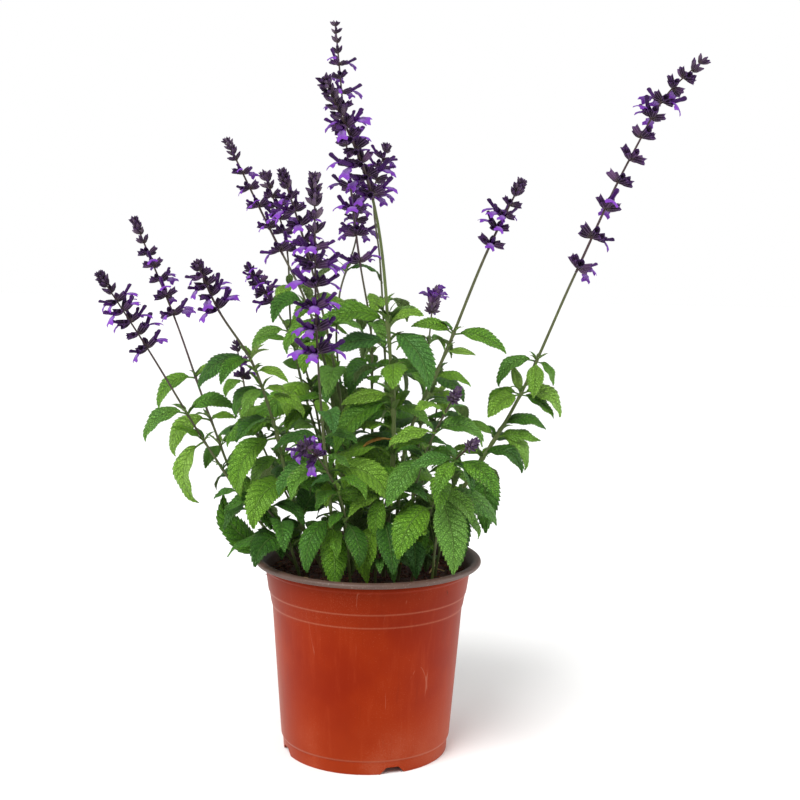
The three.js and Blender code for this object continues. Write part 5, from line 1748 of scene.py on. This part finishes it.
def wall_material():
    material, sheet, shader, place = new_material("terracotta_plastic")
    height = sheet.add("ShaderNodeSeparateXYZ", {}, [place]).out("Z")
    scuffs = sheet.noise(sheet.stretched(place, (160.0, 160.0, 14.0)), 1.0, 4.0, 0.65)
    fine = sheet.noise(sheet.stretched(place, (900.0, 900.0, 60.0)), 1.0, 3.0, 0.6)
    cloud = sheet.noise(place, 14.0, 3.0)
    grain = sheet.noise(place, 1400.0, 2.0)
    colour = sheet.blend(cloud.step(0.35, 0.65), hexa("#831e00"), hexa("#902801"))
    colour = sheet.blend(scuffs.step(0.52, 0.76) * 0.16, colour, hexa("#b04a28"))
    colour = sheet.blend(fine.step(0.66, 0.8) * 0.16, colour, hexa("#b9694a"))
    colour = sheet.blend(scuffs.step(0.42, 0.28) * 0.2, colour, hexa("#6c1a02"))
    # painted shade: the wall darker towards the lip, for the shadow that the lip casts
    colour = sheet.blend(height.step(0.1, 0.155) * 0.36, colour, hexa("#5c1200"))
    # paler towards the foot
    colour = sheet.blend(height.step(0.07, 0.0) * 0.22, colour, hexa("#b34a1c"))
    specks = (grain * 0.7 + cloud * 0.3).step(0.6, 0.7)
    colour = sheet.blend(specks * 0.2, colour, hexa("#b9745a"))
    bend = sheet.noise(sheet.stretched(place, (60.0, 60.0, 5.0)), 1.0, 0.0)
    hair = abs(bend - 0.5).step(0.004, 0.0005) * (cloud * 0.4 + scuffs * 0.6).step(0.54, 0.62)
    colour = sheet.blend(hair * 0.22, colour, hexa("#c08a72"))
    dust = height.step(0.05, 0.0) * (cloud + grain * 0.4).step(0.65, 0.9)
    colour = sheet.blend(dust * 0.25, colour, hexa("#b0705a"))
    line = 0.0
    for z in PALE_STEP_LINES:
        line = abs(height - z * MM).step(0.0011, 0.0002) + line
    colour = sheet.blend(line * (fine * 0.6 + cloud * 0.3 - 0.02).clamped(), colour, hexa("#ab5f45"))
    rough = 0.36 + scuffs * 0.16 + dust * 0.25 + fine * 0.06
    normal = sheet.bump(grain * 0.3 + fine * 0.5 + scuffs * 0.4, 0.12 * MM, 0.4)
    feed(sheet, shader, Base_Color=colour, Roughness=rough, Normal=normal, Specular_IOR_Level=0.06)
    feed(sheet, shader, Sheen_Weight=0.17, Sheen_Roughness=0.4, Sheen_Tint=(1.0, 0.9, 0.8, 1.0))
    return material


def lining_material():
    material, sheet, shader, place = new_material("grey_brown_plastic")
    cloud = sheet.noise(place, 60.0, 4.0, 0.6)
    specks = sheet.noise(place, 700.0, 2.0)
    colour = sheet.blend(cloud, hexa("#3f2c26"), hexa("#63493d"))
    colour = sheet.blend(specks.step(0.6, 0.72) * 0.5, colour, hexa("#8d7a6c"))
    normal = sheet.bump(specks + cloud, 0.15 * MM, 0.4)
    feed(sheet, shader, Base_Color=colour, Roughness=0.42 + cloud * 0.2, Normal=normal)
    return material


# %% Building the pot
NOTCHES = 4
NOTCH_WIDTH, NOTCH_DEPTH, NOTCH_LONG = 32.0, 5.6, 13.0
NOTCH_NARROW = 0.66  # width of the cutting block where it meets the foot, beside its lower end
NOTCH_TURN = -71
DRAIN_R, DRAIN_RING = 4.5, 42.0
DRAIN_SIDES = 24


def turned(points, angle):
    c, s = cos(angle), sin(angle)
    return points @ np.array([[c, s, 0], [-s, c, 0], [0, 0, 1]])


def notch_shell(centre, size):
    """A block whose sides slant in towards its top."""
    round_about = ((-1, -1), (1, -1), (1, 1), (-1, 1))
    signs = np.array([(x, y, z) for z in (-1, 1) for x, y in round_about], float)
    # Its middle is level with the foot, so its top is narrower by as much again.
    signs[4:, 1] *= 2 * NOTCH_NARROW - 1
    return np.array(centre) + signs * np.array(size) / 2, tube_faces(2, 4)


def pot_cutters():
    """Four blocks for the notches and four rods for the drain holes."""
    shape = Shape()
    ring = round_angles(DRAIN_SIDES)
    for k in range(NOTCHES):
        turn = radians(NOTCH_TURN) + k * 2 * pi / NOTCHES
        size = (NOTCH_LONG, NOTCH_WIDTH, 2 * NOTCH_DEPTH)
        points, faces = notch_shell((FOOT_R, 0, 0), size)
        shape.add(turned(points, turn), faces)
        rim = np.stack([DRAIN_RING + DRAIN_R * np.cos(ring), DRAIN_R * np.sin(ring), 0 * ring], axis=1)
        rod = np.concatenate([rim, rim + np.array([0, 0, 2 * FLOOR_Z])])
        shape.add(turned(rod, turn), tube_faces(2, DRAIN_SIDES))
    return shape.mesh("pot_cutters")


def cut_with(mesh, cutter_mesh, name):
    """The mesh with the cutters taken out, by an exact Boolean."""
    blank, cutter = shown(name + "_blank", mesh), shown(name + "_cutter", cutter_mesh)
    modifier = blank.modifiers.new("cut", "BOOLEAN")
    modifier.operation, modifier.solver, modifier.object = "DIFFERENCE", "EXACT", cutter
    outcome = plain_mesh(blank, name)
    bpy.data.objects.remove(cutter)
    return outcome


LIP_UNDER, WALL_TOP_R = 159.5, 85.0  # the grey-brown layer shows from here on
FLOOR_THICK = 1.4


def pot_piece():
    outline = rounded(POT_OUTSIDE + POT_INSIDE, (0.0, 0.0), (0.0, FLOOR_Z + FLOOR_THICK))
    lip_start = next(i for i, (r, z) in enumerate(outline) if z > LIP_UNDER and r > WALL_TOP_R)
    points, faces, inner = spun(outline, POT_SEGMENTS, lip_start)
    shape = Shape()
    shape.add(points, faces)
    mesh = shape.mesh("pot_blank")
    mesh.polygons.foreach_set("material_index", np.array(inner, np.int32))
    for material in (wall_material(), lining_material()):
        mesh.materials.append(material)
    return make_piece("pot_body", cut_with(mesh, pot_cutters(), "pot_body"), "pot", "pot", sharp=32)


pot = pot_piece()
print("pot faces:", len(pot.data.polygons))

# %% [markdown]
# ## Potting mix
#
# The mix is dark peat with bark crumbs and reddish fibres. Its bed is one closed lump with an
# uneven top. What makes it read as soil is the loose stuff on it, so a geometry tree scatters
# crumbs and fibres over the top face, each turned and scaled by a seeded draw. Three bits of
# pale straw are too few for that and lie where they are put.


# %% Mix materials
def mix_material(name, dark, middle, pale):
    material, sheet, shader, place = new_material(name)
    clods = sheet.noise(place, 260.0, 4.0, 0.65)
    grain = sheet.noise(place, 1300.0, 3.0, 0.6)
    share = (clods * 0.6 + grain * 0.5 - 0.05).clamped()
    colour = sheet.ramp(share, (0.25, hexa(dark)), (0.55, hexa(middle)), (0.85, hexa(pale)))
    normal = sheet.bump(clods + grain * 0.6, 1.0 * MM, 0.8)
    feed(sheet, shader, Base_Color=colour, Roughness=0.8 + grain * 0.15, Normal=normal)
    return material


BED = mix_material("mix_bed", "#1c100b", "#41251a", "#6b4230")
CRUMB = mix_material("mix_crumb", "#24120c", "#552d1e", "#8f5438")
FIBRE = mix_material("mix_fibre", "#4f2614", "#874524", "#bb7c4c")


# %% The bed
BED_OUTLINE = [corner[:2] for corner in POT_INSIDE[3:]]  # below the mix's top
BED_RINGS, BED_CROWD = 46, 0.8  # rings on the top, a little closer together outwards
BED_SPOKES = 120
TOP_RAISE = 0.6


def bed_height(x, y):
    """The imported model's gentle lumps with finer ones on top."""
    broad = 0.9 * sin(x / 7 + 1) * cos(y / 8) * sin((x + y) / 13)
    fine = noise.noise(Vector((x, y, 3.0)) * 0.11) * 1.1 + noise.noise(Vector((x, y, 9.0)) * 0.35) * 0.7
    return SOIL_TOP + TOP_RAISE + broad + fine


def inner_wall(z):
    """The pot's inside radius at a height."""
    heights = [c[1] for c in POT_INSIDE][::-1]
    radii = [c[0] for c in POT_INSIDE][::-1]
    return float(np.interp(z, heights, radii))


def bed_piece():
    edge = inner_wall(SOIL_TOP) - TOUCH
    angles = round_angles(BED_SPOKES)
    radii = [edge * (i / BED_RINGS) ** BED_CROWD for i in range(1, BED_RINGS + 1)]
    rows = []
    for r, z in reversed(BED_OUTLINE):
        around = [((r - TOUCH) * cos(a), (r - TOUCH) * sin(a), z + TOUCH) for a in angles]
        rows.append(around)
    for r in reversed(radii):
        rows.append([(r * cos(a), r * sin(a), bed_height(r * cos(a), r * sin(a))) for a in angles])
    shape = Shape(face_numbers=["top"])
    faces = tube_faces(len(rows), BED_SPOKES)
    is_top = [len(BED_OUTLINE) < 1 + i // BED_SPOKES for i in range(len(faces) - 2)]
    shape.add(np.concatenate([np.array(row) for row in rows]), faces, top=[*is_top, 0.0, 1.0])
    mesh = shape.mesh("mix_bed")
    mesh.materials.append(BED)
    return make_piece("mix_bed", mesh, "potting_mix", "potting_mix", sharp=70)


bed = bed_piece()
print("bed faces:", len(bed.data.polygons))


# %% Crumbs and fibres
CRUMB_STRETCH = {"a": (1, 0.8, 0.6), "b": (1, 0.55, 0.4), "c": (0.8, 0.9, 0.8)}
CRUMB_ROUGH = 0.35  # of the radius
FIBRE_BENDS = {"a": (1.6, 7.0), "b": (-1.1, 10.0), "c": (2.4, 5.5)}  # bend and half length
FIBRE_R, FIBRE_STEPS = 0.24, 7


def crumb_shapes():
    """Three lumps with a few faces each."""
    for k, (name, stretch) in enumerate(CRUMB_STRETCH.items()):
        ball = bmesh.new()
        bmesh.ops.create_icosphere(ball, subdivisions=1, radius=MM)
        for v in ball.verts:
            v.co *= 1 + CRUMB_ROUGH * noise.noise(v.co * 900 + Vector((k * 7, 0, 0)))
            v.co = Vector(c * s for c, s in zip(v.co, stretch))
        mesh = bpy.data.meshes.new(name + "_crumb")
        ball.to_mesh(mesh)
        ball.free()
        yield mesh


def fibre_shapes():
    """Three bent threads."""
    t = np.linspace(-1, 1, FIBRE_STEPS)
    side, other = np.tile([0, 1.0, 0], (FIBRE_STEPS, 1)), np.tile(UP, (FIBRE_STEPS, 1))
    for k, (name, (bend, length)) in enumerate(FIBRE_BENDS.items()):
        centre = np.stack([t * length, bend * (t**2 - 0.5), 0.5 * np.sin(2.6 * t + k)], axis=1)
        shape = Shape()
        shape.add(*tube(centre, side, other, FIBRE_R * (1.1 - t**2), 4))
        yield shape.mesh(name + "_fibre")


# %% The tree that scatters them
SHAPES_EACH = 3  # kinds of crumb, and of fibre
SMALL_MORE = 2.2  # a higher power makes more of them small


def scatter_tree(name, shapes, material, sizes):
    """Scatters shapes over the faces marked as top."""
    store = shape_store(name + " shapes", shapes)
    sheet, start = new_tree(name, sizes)
    inputs = {"Mesh": start, "Selection": named(sheet, "top"), "Density": start.out("Per square metre")}
    spread = sheet.add("GeometryNodeDistributePointsOnFaces", {}, {**inputs, "Seed": start.out("Seed")})
    tilt = start.out("Tilt")
    angles = {
        "X": sheet.random(-0.5, 0.5, 5) * tilt,
        "Y": sheet.random(-0.5, 0.5, 6) * tilt,
        "Z": sheet.random(0.0, 2 * pi, 7),
    }
    turn = sheet.add("ShaderNodeCombineXYZ", {}, angles)
    grown = sheet.random(0.0, 1.0, 2) ** SMALL_MORE
    scale = start.out("Smallest") + grown * (start.out("Largest") - start.out("Smallest"))
    index = sheet.random(0.0, SHAPES_EACH - 0.01, 3)
    loose = planted(sheet, spread, store, index, turn, scale)
    return end_tree(sheet, loose, (material, True))


def scattered_piece(name, tree, **sizes):
    mesh = run_tree(tree, bed.data.copy(), name, **sizes)
    return make_piece(name, mesh, "potting_mix", sharp=180)


# %% Crumbs and fibres on the bed
CRUMB_SIZES = {"Per square metre": 95000.0, "Smallest": 0.35, "Largest": 2.7, "Tilt": 6.3, "Seed": 4}
FIBRE_SIZES = {"Per square metre": 13000.0, "Smallest": 0.4, "Largest": 1.2, "Tilt": 0.7, "Seed": 9}
crumbs = scattered_piece("mix_crumbs", scatter_tree("crumbs", crumb_shapes(), CRUMB, CRUMB_SIZES))
fibres = scattered_piece("mix_fibres", scatter_tree("fibres", fibre_shapes(), FIBRE, FIBRE_SIZES))
print("crumb faces:", len(crumbs.data.polygons), "fibre faces:", len(fibres.data.polygons))


# %% Straws on the mix
STRAW = mix_material("mix_straw", "#b08d55", "#d3b57d", "#ecdcae")
STRAW_R = 0.75
STRAW_TAPER = np.array([1.0, 0.9, 0.5])
STRAW_FLANK = [0.6, -0.8, 0.0]
STRAWS = [  # points that a dry stalk passes through
    [(51.0, -15.0, 153.5), (54.5, -2.0, 155.5), (60.5, 20.0, 154.0)],
    [(53.0, -8.0, 155.0), (58.0, -9.0, 156.0), (64.0, -7.5, 153.8)],
    [(-58.0, -34.0, 153.6), (-50.0, -41.0, 155.2), (-41.0, -45.0, 153.6)],
]


def straw_piece():
    shape = Shape()
    for row in STRAWS:
        side, other = np.tile(STRAW_FLANK, (len(row), 1)), np.tile(UP, (len(row), 1))
        shape.add(*tube(np.array(row), side, other, STRAW_TAPER * STRAW_R, 6))
    mesh = shape.mesh("mix_straws")
    mesh.materials.append(STRAW)
    return make_piece("mix_straws", mesh, "potting_mix")


print("straw faces:", len(straw_piece().data.polygons))

# %% [markdown]
# ## Floor and light
#
# A white floor and soft light, so that nothing competes with the plant: a wide sun from the upper
# left as the key, a weak lamp on either side that edges the pot, and a white world that fills
# the shade.


# %% Floor and lights
def floor_material():
    material, sheet, shader, place = new_material("floor")
    cloud = sheet.noise(place, 3.0, 2.0)
    colour = sheet.blend(cloud, hexa("#f7f7f6"), hexa("#fbfbfa"))
    feed(sheet, shader, Base_Color=colour, Roughness=0.9)
    return material


FLOOR_HALF = 6000.0


def make_floor():
    shape = Shape()
    corners = [(-1, -1, 0), (1, -1, 0), (1, 1, 0), (-1, 1, 0)]
    shape.add(np.array(corners) * FLOOR_HALF, [[0, 1, 2, 3]])
    mesh = shape.mesh("floor")
    mesh.materials.append(floor_material())
    shown("floor", mesh)


LAMPS = [  # name, place, size, watts
    ("left edge", (-1.6, 0.1, 0.6), 1.2, 7.0),
    ("right edge", (1.6, 0.1, 0.6), 1.2, 15.0),
]
SUN_FROM = Vector((-0.5, -0.8, 1.2))
SUN_STRENGTH = 2.8
SUN_ANGLE = 0.6  # radians; a wide sun gives soft shadows
AIM = Vector((0.02, 0.0, 0.28))


def make_lamps():
    for name, place, size, watts in LAMPS:
        data = bpy.data.lights.new(name, "AREA")
        data.energy, data.size = watts, size
        lamp = shown(name, data)
        lamp.location = place
        lamp.rotation_euler = (AIM - Vector(place)).to_track_quat("-Z", "Y").to_euler()


def make_sun():
    data = bpy.data.lights.new("key", "SUN")
    data.energy, data.angle = SUN_STRENGTH, SUN_ANGLE
    shown("key", data).rotation_euler = SUN_FROM.to_track_quat("Z", "Y").to_euler()


BACKDROP = 1.0
AMBIENT = 0.5


def make_world():
    """White where it is seen, and weaker where it lights the plant."""
    world = bpy.data.worlds.new("studio")
    world.use_nodes = True
    sheet = Sheet(world.node_tree)
    seen = sheet.add("ShaderNodeLightPath", {}, (), "Is Camera Ray")
    background = world.node_tree.nodes["Background"]
    background.inputs["Color"].default_value = (1.0, 1.0, 1.0, 1.0)
    sheet.tree.links.new((seen * (BACKDROP - AMBIENT) + AMBIENT).socket, background.inputs["Strength"])
    bpy.context.scene.world = world
    bpy.context.scene.view_settings.view_transform = "Standard"


make_floor()
make_lamps()
make_sun()
make_world()
print("lamps:", [lamp[0] for lamp in LAMPS])
